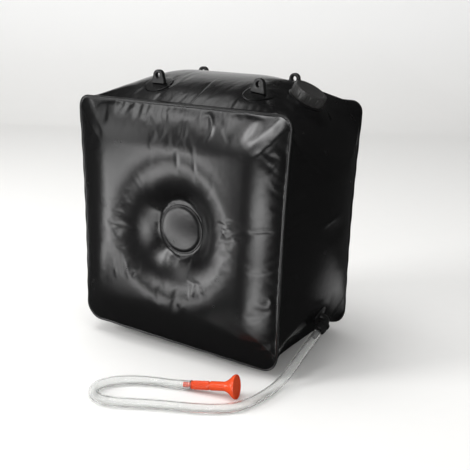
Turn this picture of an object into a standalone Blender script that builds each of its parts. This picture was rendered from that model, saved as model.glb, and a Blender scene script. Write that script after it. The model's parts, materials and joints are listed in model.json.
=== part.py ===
"""Camp shower bag: an inflated PVC water bag with a screw-capped filler on its shoulder, four
hanging eyes, an inner tie that dimples its two faces, and a clear hose with a red shower head.

Metres, +Z up. The bag stands on Z = 0 with its front face towards -Y, and the origin lies on the
floor under its middle. Left is -X and right is +X.
"""
import math

import bmesh
import bpy
from mathutils import Matrix, Vector

# Fits shared by every piece
GAP = 0.0003
OVERRUN = 0.004
MERGE = 0.00002

# Bag, measured from weld seam to weld seam
FACE_WIDTH = 0.365
FACE_HEIGHT = 0.359
DEPTH = 0.225
SEAM_LIFT = 0.0184
SIDE_SWELL = 0.022
TOP_SWELL = 0.0387
FLOOR_SWELL = 0.024
TOP_SEAM_CORNER = 0.018
LOW_SEAM_CORNER = 0.026
TOP_MID_CORNER = 0.150
LOW_MID_CORNER = 0.119
EDGE_DRAW = 0.004
TAPER_SHARE = 0.042
LEFT_LIFT = 0.0053
FILM = 0.0005
FIN_WIDTH = 0.0035
FACE_RIDGE = 0.024
RIDGE_SHARE = 0.45
CRATER_RADIUS = 0.115
CRATER_SQUEEZE = 0.88
TIE_RECESS = 0.0106

# Inner tie between the two faces
TIE_DISC_RADIUS = 0.0375
TIE_DISC_THICKNESS = 0.0012
TIE_DISC_CROWN = 0.0010
TIE_GROOVE = 0.0005
TIE_CROWN_SHARES = ((0.0, 1.0), (0.40, 0.86), (0.80, 0.30))
TIE_GROOVE_SHARE = 0.84
TIE_RIM_SHARES = (0.88, 0.96)
TIE_FLAT_MARGIN = 0.0010
ANCHOR_RADIUS = 0.0360
ANCHOR_THICKNESS = 0.0010
STRAP_WIDTH = 0.060
STRAP_THICKNESS = 0.0012

# Hanging eyes on the top
EYE_SPREAD = 0.0848
FRONT_EYES_INSET = 0.0398
FRONT_EYES_SHIFT = 0.0215
BACK_EYES_INSET = 0.0305
BACK_EYES_SHIFT = -0.0035
PATCH_RADIUS = 0.0220
PATCH_THICKNESS = 0.0012
LUG_BASE_WIDTH = 0.0230
LUG_TOP_RADIUS = 0.0085
LUG_THICKNESS = 0.0075
LUG_EYE_HEIGHT = 0.0125
LUG_FOOT_DEPTH = 0.0055
LUG_FOOT_HEIGHT = 0.0031
LUG_STEPS = 12
LUG_HOLE_RADIUS = 0.0040
LUG_BEVEL = 0.0010

# Filler neck and its screw cap
FILLER_TILT = math.radians(36.3)
FILLER_AIM = (0.489, 0.021, 0.872)
FILLER_FLANGE_RADIUS = 0.0275
FILLER_FLANGE_THICKNESS = 0.0015
FILLER_FLANGE_CROWN = 0.0080
NECK_BORE_RADIUS = 0.0185
NECK_WALL = 0.0027
NECK_HEIGHT = 0.0126
NECK_DEPTH = 0.0030
FILLER_PITCH = 0.0045
FILLER_RIDGE_RADIUS = 0.0008
FILLER_RIDGE_PROUD = 0.0010
FILLER_TURNS = 1.25
FILLER_THREAD_INSET = 0.0027
CAP_RADIUS = 0.0250
CAP_HEIGHT = 0.0155
CAP_LID = 0.0026
CAP_EDGE = 0.0012
CAP_RIM_WIDTH = 0.0048
CAP_DISH = 0.0006
CAP_CLEARANCE = 0.0006
CAP_RIBS = 14
CAP_RIB_PROUD = 0.0009
CAP_RIB_WIDTH = 0.0063
SEAL_THICKNESS = 0.0015

# Outlet at the foot of the right side
OUTLET_TILT = math.radians(19.2)
OUTLET_AHEAD = 0.0143
OUTLET_STAND_OFF = 0.0135
OUTLET_AIM = (-0.12, -0.88, -0.46)
SPOUT_RADIUS = 0.0054
SPOUT_BORE_RADIUS = 0.0034
SPOUT_FLANGE_RADIUS = 0.0150
SPOUT_FLANGE_THICKNESS = 0.0012
SPOUT_BEND = 0.0070
SPOUT_RING_RADIUS = 0.0092
SPOUT_RING_START = 0.0085
SPOUT_RING_WIDTH = 0.0045
SPOUT_THREAD_LENGTH = 0.0058
NUT_RADIUS = 0.0078
NUT_LIP = 0.0012
NUT_RIBS = 12
NUT_RIB_PROUD = 0.0007
NUT_RIB_WIDTH = 0.0022
OUTLET_PITCH = 0.0024
OUTLET_RIDGE_RADIUS = 0.0005
OUTLET_RIDGE_PROUD = 0.0006
OUTLET_TURNS = 1.25
OUTLET_THREAD_INSET = 0.0017
WASHER_THICKNESS = 0.0010
SLIP_RING_THICKNESS = 0.0006
TAIL_FLANGE_THICKNESS = 0.0012
TAIL_BORE_RADIUS = 0.0028
TAIL_RADIUS = 0.0038
TAIL_BARB_LENGTH = 0.0105
TAIL_NECK = 0.0040

# Clear hose
HOSE_RADIUS = 0.0065
HOSE_WALL = 0.0016
HOSE_LIE = 0.0069
HOSE_POINTS = 44
HOSE_SIDES = 8
HOSE_END_RUN = 0.0075
ROUTE_STEPS = 24

# Shower head on the hose's end
HEAD_START = (0.0919, -0.2040, 0.0092)
HEAD_AIM = (0.963, 0.236, 0.129)
STEM_RADIUS = 0.0046
STEM_BORE_RADIUS = 0.0028
STEM_BARB_LENGTH = 0.0120
STEM_BARB_PROUD = 0.0004
STEM_SHOULDER_RADIUS = 0.0060
STEM_SHOULDER_LENGTH = 0.0012
GRIP_RADIUS = 0.0064
GRIP_LENGTH = 0.0252
GRIP_RIBS = 16
GRIP_RIB_PROUD = 0.0005
GRIP_RIB_WIDTH = 0.0013
ROSE_OFFSET = 0.0010
ROSE_NECK_RADIUS = 0.0064
ROSE_NECK_LENGTH = 0.0190
ROSE_FLARE_LENGTH = 0.0150
ROSE_RIM_RADIUS = 0.0168
ROSE_RIM_LENGTH = 0.0040
ROSE_EDGE = 0.0004
ROSE_FLARE_STEPS = 4
ROSE_WALL = 0.0014
ROSE_SOCKET_LENGTH = 0.0110
ROSE_PITCH = 0.0024
ROSE_RIDGE_RADIUS = 0.0004
ROSE_RIDGE_PROUD = 0.0004
ROSE_TURNS = 1.25
ROSE_THREAD_INSET = 0.0022
ROSE_CLEARANCE = 0.0003
ROSE_SEAL_THICKNESS = 0.0010
SPRAY_PLATE_THICKNESS = 0.0014
SPRAY_HOLE_RADIUS = 0.0007
SPRAY_HOLE_COUNTS = (1, 4, 9)
SPRAY_RINGS_SHARES = (0.0, 0.38, 0.76)

# Shares that shape the lofts
OUTLINE_SHARES = (0.0, 0.3, 0.58, 0.80, 0.91, 1.0)
DEPTH_SHARES = (-0.88, -0.60, -0.20, 0.20, 0.60, 0.88)
FACE_SHARES = (0.0, 0.10, 0.24, 0.40, 0.56, 0.72, 0.87)
CORNER_POWER = 0.8
FLARE_POWER = 1.7
TOUCH = 0.5 * (FILM + FILM + GAP)
SLANT = math.sqrt(0.5)
RIGHT_ANGLE = math.radians(90)
SHARP_ANGLE = math.radians(35)
BEVEL_ANGLE = math.radians(50)


def start_scene():
    """Empties the scene and makes one collection for the pieces and one for the cutters"""
    for old in list(bpy.data.objects):
        bpy.data.objects.remove(old, do_unlink=True)
    made = []
    for name in ("camp_shower_bag", "cutters"):
        group = bpy.data.collections.new(name)
        bpy.context.scene.collection.children.link(group)
        made.append(group)
    return made


PARTS, CUTTERS = start_scene()


def finish(name, colour, roughness, metallic=0.0):
    """Principled material of one colour"""
    material = bpy.data.materials.new(name)
    material.use_nodes = True
    shader = material.node_tree.nodes["Principled BSDF"]
    shader.inputs["Base Color"].default_value = (*colour, 1.0)
    shader.inputs["Roughness"].default_value = roughness
    shader.inputs["Metallic"].default_value = metallic
    return material


BLACK_FILM = finish("black_film", (0.012, 0.012, 0.013), 0.30)
BLACK_MOULDING = finish("black_moulding", (0.018, 0.018, 0.019), 0.42)
CAP_PLASTIC = finish("cap_plastic", (0.030, 0.028, 0.026), 0.50)
BLACK_RUBBER = finish("black_rubber", (0.010, 0.010, 0.010), 0.70)
WEBBING = finish("webbing", (0.020, 0.020, 0.022), 0.60)
RED_PLASTIC = finish("red_plastic", (0.800, 0.090, 0.030), 0.32)
CLEAR_HOSE = finish("clear_hose", (0.820, 0.830, 0.820), 0.12)


def add_object(name, data, material, cutter=False):
    """Links a mesh or curve as a piece, or as a cutter that isn't part of the model"""
    obj = bpy.data.objects.new(name, data)
    if material:
        data.materials.append(material)
    (CUTTERS if cutter else PARTS).objects.link(obj)
    if cutter:
        obj.hide_render = True
        obj.display_type = "WIRE"
    return obj


def aim(obj, place, axis, side=(0.0, 1.0, 0.0)):
    """Puts a piece at a place with its own Z along axis and its own X as near to side as can be"""
    up = Vector(axis).normalized()
    across = Vector(side) - up * up.dot(Vector(side))
    across.normalize()
    turn = Matrix((across, up.cross(across), up)).transposed()
    obj.location = place
    obj.rotation_euler = turn.to_euler()
    return obj


def shade_round(mesh):
    """Shades a mesh smooth, but for its sharp edges"""
    mesh.shade_smooth()
    mesh.set_sharp_from_angle(angle=SHARP_ANGLE)


def turned(name, profile, material, steps=32, ring=True, cutter=False):
    """Turned piece: (radius, height) pairs, whose outer side runs from top to bottom"""
    mesh = bpy.data.meshes.new(name)
    corners = [(radius, 0.0, height) for radius, height in profile]
    edges = [(i, i + 1) for i in range(len(corners) - 1)]
    if ring:
        edges.append((len(corners) - 1, 0))
    mesh.from_pydata(corners, edges, [])
    obj = add_object(name, mesh, material, cutter)
    screw = obj.modifiers.new("turn", "SCREW")
    screw.steps = steps
    screw.render_steps = steps
    screw.use_merge_vertices = True
    screw.merge_threshold = MERGE
    screw.use_smooth_shade = True
    return obj


def combine(obj, other, operation):
    """Cuts or joins another piece's shape"""
    step = obj.modifiers.new(other.name, "BOOLEAN")
    step.operation = operation
    step.solver = "EXACT"
    step.object = other
    return obj


def as_mesh(curve_object):
    """Turns a capped tube into a welded mesh object, so that it can be cut or joined"""
    bpy.context.view_layer.update()
    reader = bpy.context.evaluated_depsgraph_get()
    mesh = bpy.data.meshes.new_from_object(curve_object.evaluated_get(reader))
    welder = bmesh.new()
    welder.from_mesh(mesh)
    bmesh.ops.remove_doubles(welder, verts=welder.verts, dist=MERGE)
    welder.to_mesh(mesh)
    welder.free()
    name = curve_object.name
    place = curve_object.matrix_world.copy()
    bpy.data.objects.remove(curve_object, do_unlink=True)
    obj = add_object(name, mesh, None, cutter=True)
    obj.matrix_world = place
    return obj


def tube(name, points, radius, material, resolution=2, capped=True, cutter=False):
    """Round tube along a list of points"""
    data = bpy.data.curves.new(name, "CURVE")
    data.dimensions = "3D"
    data.bevel_depth = radius
    data.bevel_resolution = resolution
    data.use_fill_caps = capped
    line = data.splines.new("POLY")
    line.points.add(len(points) - 1)
    for target, point in zip(line.points, points):
        target.co = (*point, 1.0)
    return add_object(name, data, material, cutter)


def thread_ridge(name, radius, ridge, start, pitch, turns, around=16):
    """Helical ridge of a screw thread, right-handed about Z, with so many points a turn"""
    steps = round(turns * around)
    points = []
    for i in range(steps + 1):
        turn = turns * i / steps
        angle = 2.0 * math.pi * turn
        points.append((radius * math.cos(angle), radius * math.sin(angle), start + pitch * turn))
    return as_mesh(tube(name, points, ridge, None, resolution=0, cutter=True))


def blocks(name, count, radius, proud, width, low, high):
    """Ribs set round a turned piece: blocks that start inside its surface and stand proud of it"""
    mesh = bpy.data.meshes.new(name)
    maker = bmesh.new()
    depth = 2.0 * proud
    for i in range(count):
        angle = 2.0 * math.pi * i / count
        place = Matrix.Rotation(angle, 4, "Z") @ Matrix.Translation((radius, 0.0, 0.5 * (low + high)))
        size = Matrix.Diagonal((depth, width, high - low, 1.0))
        bmesh.ops.create_cube(maker, size=1.0, matrix=place @ size)
    maker.to_mesh(mesh)
    maker.free()
    return add_object(name, mesh, None, cutter=True)


def loft(name, rings, material, closed=False, cutter=False):
    """Skin over a row of rings with equal counts; closed adds a flat end at each end ring"""
    maker = bmesh.new()
    rows = [[maker.verts.new(point) for point in ring] for ring in rings]
    for near, far in zip(rows, rows[1:]):
        count = len(far)
        for i in range(count):
            j = (i + 1) % count
            if len(near) == 1:
                maker.faces.new((near[0], far[j], far[i]))
                continue
            maker.faces.new((near[i], near[j], far[j]))
            maker.faces.new((near[i], far[j], far[i]))
    if closed:
        maker.faces.new(rows[0])
        maker.faces.new(rows[-1])
    bmesh.ops.recalc_face_normals(maker, faces=maker.faces)
    mesh = bpy.data.meshes.new(name)
    maker.to_mesh(mesh)
    maker.free()
    shade_round(mesh)
    return add_object(name, mesh, material, cutter)


def thicken(obj, wall):
    """Gives an open skin its wall, inwards from its outer side"""
    step = obj.modifiers.new("wall", "SOLIDIFY")
    step.thickness = wall
    step.offset = -1.0
    step.use_even_offset = True
    return obj


# Outline of the bag across its depth

def swell_at(depth):
    """How far a section is blown out: 0 at the seams and 1 at mid-depth"""
    return max(0.0, 1.0 - (2.0 * depth / DEPTH) ** 2)


def section_size(depth, puff=0.0, low=False):
    """Half width, top, bottom and corner radius of the bag at a depth"""
    swell = swell_at(depth)
    half_width = 0.5 * FACE_WIDTH + SIDE_SWELL * swell + puff
    top = SEAM_LIFT + FACE_HEIGHT + TOP_SWELL * swell + puff
    bottom = SEAM_LIFT - FLOOR_SWELL * swell - puff
    seam_corner = LOW_SEAM_CORNER if low else TOP_SEAM_CORNER
    mid_corner = LOW_MID_CORNER if low else TOP_MID_CORNER
    corner = seam_corner + (mid_corner - seam_corner) * swell ** CORNER_POWER + puff
    return half_width, top, bottom, corner


def octant_point(straight, corner, share):
    """Point on one eighth of the outline: run along the side, and how far it has turned in"""
    travel = share * (straight + corner * 0.25 * math.pi)
    if travel <= straight:
        return travel, 0.0
    angle = (travel - straight) / corner
    return straight + corner * math.sin(angle), corner * (1.0 - math.cos(angle))


def quarter(half_width, half_height, corner):
    """Points of a quarter of the outline, from its side round to its top"""
    points = []
    for share in OUTLINE_SHARES:
        run, inset = octant_point(half_height - corner, corner, share)
        points.append((half_width - inset, run))
    for share in reversed(OUTLINE_SHARES[:-1]):
        run, inset = octant_point(half_width - corner, corner, share)
        points.append((run, half_height - inset))
    return points


def settled(x, z, depth, puff=0.0):
    """Outline point as the bag sits: edges drawn in, narrower downwards, left foot lifted.

    Z comes in from the section's middle, and goes out from the floor.
    """
    half_width, top, bottom = section_size(depth, puff)[:3]
    half_height = 0.5 * (top - bottom)
    slack = 1.0 - swell_at(depth)
    down = 0.5 - 0.5 * z / half_height
    drawn = EDGE_DRAW * slack * (1.0 - (z / half_height) ** 2) / half_width
    lift = LEFT_LIFT * slack * down * down * x / half_width
    across = x * (1.0 - drawn) * (1.0 - TAPER_SHARE * down)
    return across, max(0.5 * (top + bottom) + z - lift, -puff)


def outline(depth, puff=0.0):
    """Rounded outline of the bag at a depth, as (x, z) points from +X round through the top"""
    half_width, top, bottom, corner = section_size(depth, puff)
    low_corner = section_size(depth, puff, low=True)[-1]
    high = quarter(half_width, 0.5 * (top - bottom), corner)
    low = quarter(half_width, 0.5 * (top - bottom), low_corner)
    points = high + [(-x, z) for x, z in reversed(high[:-1])]
    points += [(-x, -z) for x, z in low[1:]] + [(x, -z) for x, z in reversed(low[1:-1])]
    return [settled(x, z, depth, puff) for x, z in points]


def ring_at(depth, puff=0.0):
    """Ring of the bag's outer side at a depth"""
    return [(x, depth, z) for x, z in outline(depth, puff)]


def seam_ring(depth, puff):
    """Ring with the seam's outline, grown by puff, at a depth close to the seam"""
    return [(x, depth, z) for x, z in outline(0.5 * DEPTH, puff)]


def band_rings():
    """Rings of the gusset band, with the weld fin at each end"""
    seam = 0.5 * DEPTH - TOUCH * SLANT
    fin = seam + FIN_WIDTH * SLANT
    seam_puff = TOUCH * SLANT
    fin_puff = seam_puff + FIN_WIDTH * SLANT
    rings = [seam_ring(-fin, fin_puff), seam_ring(-seam, seam_puff)]
    rings += [ring_at(0.5 * DEPTH * share) for share in DEPTH_SHARES]
    rings += [seam_ring(seam, seam_puff), seam_ring(fin, fin_puff)]
    return rings


def envelope(name, puff):
    """Closed solid of the band's outer side, blown out by puff, to seat what lies on the film"""
    rings = [ring_at(0.5 * DEPTH * share, puff) for share in DEPTH_SHARES]
    return loft(name, rings, None, closed=True, cutter=True)


def relief(x, up, reach):
    """How far a face stands out at a place: a pillow that rises from the seams, with a round crater.

    Up is measured from the face's middle, and reach is how far the seam lies that way.
    """
    inwards = min(1.0, (1.0 - math.hypot(x, up) / reach) / RIDGE_SHARE)
    pillow = FACE_RIDGE * inwards * (2.0 - inwards)
    flat = TIE_DISC_RADIUS + TIE_FLAT_MARGIN
    share = (math.hypot(x, CRATER_SQUEEZE * up) - flat) / (CRATER_RADIUS - flat)
    share = min(1.0, max(0.0, share))
    return pillow - (FACE_RIDGE + TIE_RECESS) * (1.0 - share * share * (3.0 - 2.0 * share))


def face_point(x, z, share, radius):
    """Point between the tie disc's rim and the seam, at a share of the way"""
    middle = SEAM_LIFT + 0.5 * FACE_HEIGHT
    reach = math.hypot(x, z - middle)
    away = (radius + (reach - radius) * share) / reach
    across, up = x * away, (z - middle) * away
    return across, -(0.5 * DEPTH + relief(across, up, reach)), middle + up


def face_rings():
    """Rings of the front panel from its middle out to the edge of the weld fin"""
    flat = TIE_DISC_RADIUS + TIE_FLAT_MARGIN
    middle = (0.0, TIE_RECESS - 0.5 * DEPTH, SEAM_LIFT + 0.5 * FACE_HEIGHT)
    seam_puff = -TOUCH * SLANT
    rim = outline(0.5 * DEPTH, seam_puff)
    rings = [[middle]]
    rings += [[face_point(x, z, share, flat) for x, z in rim] for share in FACE_SHARES]
    seam = 0.5 * DEPTH + TOUCH * SLANT
    rings.append(seam_ring(-seam, seam_puff))
    rings.append(seam_ring(-seam - FIN_WIDTH * SLANT, seam_puff + FIN_WIDTH * SLANT))
    return rings


def mirrored(rings):
    """The same rings on the back of the bag"""
    return [[(x, -y, z) for x, y, z in ring] for ring in rings]


# Places on the band

def shoulder(tilt, depth, low=False):
    """Point of the rounded right shoulder at a depth, with the outward direction there.

    Tilt is measured from straight up on the top shoulder, and from level on the low one.
    """
    half_width, top, bottom, corner = section_size(depth, low=low)
    if low:
        way = Vector((math.cos(tilt), 0.0, -math.sin(tilt)))
        height = 0.5 * (bottom - top) + corner
    else:
        way = Vector((math.sin(tilt), 0.0, math.cos(tilt)))
        height = 0.5 * (top - bottom) - corner
    across, up = settled(half_width - corner + way.x * corner, height + way.z * corner, depth)
    return Vector((across, depth, up)), way


def top_place(x, depth):
    """Point of the bag's top at a place, with the outward direction there"""
    def height(across, along):
        half_width, top, bottom, corner = section_size(along)
        past = max(0.0, abs(across) - (half_width - corner))
        return top - corner + math.sqrt(corner * corner - past * past)
    step = PATCH_THICKNESS
    slope_x = (height(x + step, depth) - height(x - step, depth)) / (2.0 * step)
    slope_y = (height(x, depth + step) - height(x, depth - step)) / (2.0 * step)
    return Vector((x, depth, height(x, depth))), Vector((-slope_x, -slope_y, 1.0)).normalized()


# Bag shell

def bag_shell():
    """Gusset band with its weld fins, and the two dimpled faces"""
    band = thicken(loft("gusset_band", band_rings(), BLACK_FILM), FILM)
    front = thicken(loft("front_panel", face_rings(), BLACK_FILM), FILM)
    back = thicken(loft("back_panel", mirrored(face_rings()), BLACK_FILM), FILM)
    for piece, outward in ((front, -1.0), (back, 1.0)):
        face_out(piece, outward)
    return band


def face_out(piece, outward):
    """Turns an open panel's faces so that they look out of the bag"""
    total = sum(face.normal.y * face.area for face in piece.data.polygons)
    if total * outward < 0.0:
        piece.data.flip_normals()


# Inner tie

def tie():
    """Outer discs, inner anchor discs and the strap that holds the two faces in"""
    middle = SEAM_LIFT + 0.5 * FACE_HEIGHT
    seat = 0.5 * DEPTH - TIE_RECESS
    rim = TIE_DISC_RADIUS
    top = TIE_DISC_THICKNESS
    outer = [(rim * across, top + TIE_DISC_CROWN * up) for across, up in TIE_CROWN_SHARES]
    outer.append((rim * TIE_GROOVE_SHARE, top - TIE_GROOVE))
    outer += [(rim * share, top) for share in TIE_RIM_SHARES]
    outer += [(rim, 0.5 * top), (rim, 0.0), (0.0, 0.0)]
    anchor = [
        (0.0, ANCHOR_THICKNESS),
        (ANCHOR_RADIUS, ANCHOR_THICKNESS),
        (ANCHOR_RADIUS, 0.0),
        (0.0, 0.0),
    ]
    for side, outward in (("front", -1.0), ("back", 1.0)):
        disc = turned(side + "_tie_disc", outer, BLACK_FILM, steps=28, ring=False)
        aim(disc, (0.0, outward * (seat + GAP), middle), (0.0, outward, 0.0), side=(1.0, 0.0, 0.0))
        plate = turned(side + "_anchor_disc", anchor, BLACK_FILM, steps=32, ring=False)
        inner = seat - FILM - GAP - ANCHOR_THICKNESS
        aim(plate, (0.0, outward * inner, middle), (0.0, outward, 0.0), side=(1.0, 0.0, 0.0))
    length = 2.0 * (seat - FILM - GAP - ANCHOR_THICKNESS - GAP)
    maker = bmesh.new()
    size = Matrix.Diagonal((STRAP_THICKNESS, length, STRAP_WIDTH, 1.0))
    bmesh.ops.create_cube(maker, size=1.0, matrix=size)
    mesh = bpy.data.meshes.new("tie_strap")
    maker.to_mesh(mesh)
    maker.free()
    strap = add_object("tie_strap", mesh, WEBBING)
    strap.location = (0.0, 0.0, middle)


# Hanging eyes

def disc_cutter(name, radius, low, high, steps=32):
    """Round cutter along its own Z"""
    profile = [(0.0, high), (radius, high), (radius, low), (0.0, low)]
    return turned(name, profile, None, steps=steps, ring=False, cutter=True)


def film_disc(name, radius, place, way, seat, skin, material, steps=32):
    """Disc that follows the film: what lies between the seat and the skin inside a round cutter"""
    reach = OVERRUN + TOP_SWELL
    disc = turned(
        name,
        [(0.0, OVERRUN), (radius, OVERRUN), (radius, -reach), (0.0, -reach)],
        material,
        steps=steps,
        ring=False,
    )
    aim(disc, place, way)
    combine(disc, skin, "INTERSECT")
    return combine(disc, seat, "DIFFERENCE")


def hanging_eyes(seat, patch_skin, lug_seat):
    """Round patches on the top, each with a lug that has its hole along Y"""
    rows = (
        ("front", FRONT_EYES_INSET - 0.5 * DEPTH, FRONT_EYES_SHIFT),
        ("back", 0.5 * DEPTH - BACK_EYES_INSET, BACK_EYES_SHIFT),
    )
    for row, depth, shift in rows:
        for side, x in (("left", -EYE_SPREAD), ("right", EYE_SPREAD)):
            label = row + "_" + side
            place, way = top_place(x + shift, depth)
            film_disc(
                "hang_patch_" + label, PATCH_RADIUS, place, way, seat, patch_skin, BLACK_FILM, steps=28
            )
            lug = lug_plate("hang_lug_" + label)
            lean = Vector((way.x, 0.0, way.z)).normalized()
            aim(lug, place, lean, side=(lean.z, 0.0, -lean.x))
            combine(lug, lug_seat, "DIFFERENCE")


def lug_plate(name):
    """Plate with a round head over a wider foot, and its hole: drawn flat and stood up"""
    foot = 0.5 * LUG_BASE_WIDTH
    outlined = [(-foot, -LUG_FOOT_DEPTH), (foot, -LUG_FOOT_DEPTH), (foot, LUG_FOOT_HEIGHT)]
    for i in range(LUG_STEPS + 1):
        angle = math.pi * i / LUG_STEPS
        outlined.append(
            (LUG_TOP_RADIUS * math.cos(angle), LUG_EYE_HEIGHT + LUG_TOP_RADIUS * math.sin(angle))
        )
    outlined.append((-foot, LUG_FOOT_HEIGHT))
    maker = bmesh.new()
    half = 0.5 * LUG_THICKNESS
    base = maker.faces.new([maker.verts.new((x, -half, z)) for x, z in outlined])
    grown = bmesh.ops.extrude_face_region(maker, geom=[base])
    moved = [item for item in grown["geom"] if isinstance(item, bmesh.types.BMVert)]
    bmesh.ops.translate(maker, verts=moved, vec=(0.0, LUG_THICKNESS, 0.0))
    bmesh.ops.recalc_face_normals(maker, faces=maker.faces)
    mesh = bpy.data.meshes.new(name)
    maker.to_mesh(mesh)
    maker.free()
    lug = add_object(name, mesh, BLACK_MOULDING)
    edges = lug.modifiers.new("edges", "BEVEL")
    edges.width = LUG_BEVEL
    edges.segments = 2
    edges.limit_method = "ANGLE"
    edges.angle_limit = BEVEL_ANGLE
    hole = disc_cutter(name + "_hole", LUG_HOLE_RADIUS, -LUG_THICKNESS, LUG_THICKNESS, steps=20)
    hole.parent = lug
    hole.location = (0.0, 0.0, LUG_EYE_HEIGHT)
    hole.rotation_euler = (RIGHT_ANGLE, 0.0, 0.0)
    return combine(lug, hole, "DIFFERENCE")


# Filler

def filler(band, seat):
    """Neck with its flange on the film, the sealing ring, and the ribbed screw cap"""
    place, way = shoulder(FILLER_TILT, 0.0)[0], Vector(FILLER_AIM).normalized()
    outer = NECK_BORE_RADIUS + NECK_WALL
    flange = FILLER_FLANGE_THICKNESS
    reach = NECK_DEPTH + FILLER_FLANGE_CROWN
    neck = turned(
        "filler_neck",
        [
            (outer, NECK_HEIGHT),
            (outer, 2.0 * flange),
            (outer + flange, flange),
            (FILLER_FLANGE_RADIUS - flange, 0.5 * flange),
            (FILLER_FLANGE_RADIUS, 0.0),
            (FILLER_FLANGE_RADIUS, -FILLER_FLANGE_CROWN),
            (NECK_BORE_RADIUS, -FILLER_FLANGE_CROWN),
            (NECK_BORE_RADIUS, NECK_HEIGHT),
        ],
        BLACK_MOULDING,
        steps=32,
    )
    aim(neck, place, way)
    combine(neck, seat, "DIFFERENCE")
    collar = turned(
        "neck_collar",
        [
            (outer, flange),
            (outer, -reach),
            (NECK_BORE_RADIUS, -reach),
            (NECK_BORE_RADIUS, flange),
        ],
        None,
        steps=32,
        cutter=True,
    )
    aim(collar, place, way)
    combine(neck, collar, "UNION")
    start = NECK_HEIGHT - FILLER_PITCH * FILLER_TURNS - FILLER_THREAD_INSET
    ridge_centre = outer + FILLER_RIDGE_PROUD - FILLER_RIDGE_RADIUS
    ridge = thread_ridge(
        "neck_thread", ridge_centre, FILLER_RIDGE_RADIUS, start, FILLER_PITCH, FILLER_TURNS, around=24
    )
    aim(ridge, place, way)
    combine(neck, ridge, "UNION")

    hole = disc_cutter("filler_hole", outer + GAP, -reach - OVERRUN, OVERRUN, steps=32)
    aim(hole, place, way)
    combine(band, hole, "DIFFERENCE")

    seal_low = NECK_HEIGHT + GAP
    seal_high = seal_low + SEAL_THICKNESS
    bore = outer + FILLER_RIDGE_PROUD + CAP_CLEARANCE
    seal = turned(
        "cap_seal",
        [
            (bore - GAP, seal_high),
            (bore - GAP, seal_low),
            (NECK_BORE_RADIUS - NECK_WALL, seal_low),
            (NECK_BORE_RADIUS - NECK_WALL, seal_high),
        ],
        BLACK_RUBBER,
        steps=32,
    )
    aim(seal, place, way)

    lid = seal_high + GAP
    crown = lid + CAP_LID
    foot = crown - CAP_HEIGHT
    edge = CAP_EDGE
    cap = turned(
        "filler_cap",
        [
            (0.0, crown - CAP_DISH),
            (CAP_RADIUS - CAP_RIM_WIDTH - edge, crown - CAP_DISH),
            (CAP_RADIUS - CAP_RIM_WIDTH, crown),
            (CAP_RADIUS - edge, crown),
            (CAP_RADIUS, crown - edge),
            (CAP_RADIUS, foot),
            (bore, foot),
            (bore, lid),
            (0.0, lid),
        ],
        CAP_PLASTIC,
        steps=32,
        ring=False,
    )
    aim(cap, place, way)
    ribs = blocks(
        "cap_ribs", CAP_RIBS, CAP_RADIUS, CAP_RIB_PROUD, CAP_RIB_WIDTH, foot + edge, crown - edge
    )
    aim(ribs, place, way)
    combine(cap, ribs, "UNION")
    ridge = thread_ridge(
        "cap_thread",
        bore - FILLER_RIDGE_PROUD + FILLER_RIDGE_RADIUS,
        FILLER_RIDGE_RADIUS,
        start + 0.5 * FILLER_PITCH,
        FILLER_PITCH,
        FILLER_TURNS,
        around=24,
    )
    aim(ridge, place, way)
    combine(cap, ridge, "UNION")


# Outlet

def outlet_line():
    """Where the outlet leaves the film, the elbow's corner, and the way the spout points"""
    place, way = shoulder(OUTLET_TILT, -OUTLET_AHEAD, low=True)
    corner = place + way * OUTLET_STAND_OFF
    return place, way, corner, Vector(OUTLET_AIM).normalized()


def bend(start, corner, end, radius, count=4):
    """Points of a tube's line that turns at a corner: a quadratic arc between two straight runs"""
    back = (start - corner).normalized() * radius
    ahead = (end - corner).normalized() * radius
    points = [start]
    for i in range(count + 1):
        share = i / count
        a = corner + back * (1.0 - share)
        b = corner + ahead * share
        points.append(a.lerp(b, share))
    points.append(end)
    return points


def outlet_marks():
    """Distances along the spout's line, from the elbow's corner to the hose's start"""
    marks = {"ring": SPOUT_RING_START}
    marks["nut"] = marks["ring"] + SPOUT_RING_WIDTH + GAP
    marks["spout_end"] = marks["nut"] + SPOUT_THREAD_LENGTH
    marks["washer"] = marks["spout_end"] + GAP
    marks["tail"] = marks["washer"] + WASHER_THICKNESS + GAP
    marks["slip"] = marks["tail"] + TAIL_FLANGE_THICKNESS + GAP
    marks["lip"] = marks["slip"] + SLIP_RING_THICKNESS + GAP
    marks["nut_end"] = marks["lip"] + NUT_LIP
    marks["hose"] = marks["nut_end"] + TAIL_NECK
    return marks


def nut_bore():
    """Inner radius of the union nut, clear of the spout's thread"""
    return SPOUT_RADIUS + OUTLET_RIDGE_PROUD + GAP


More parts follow.
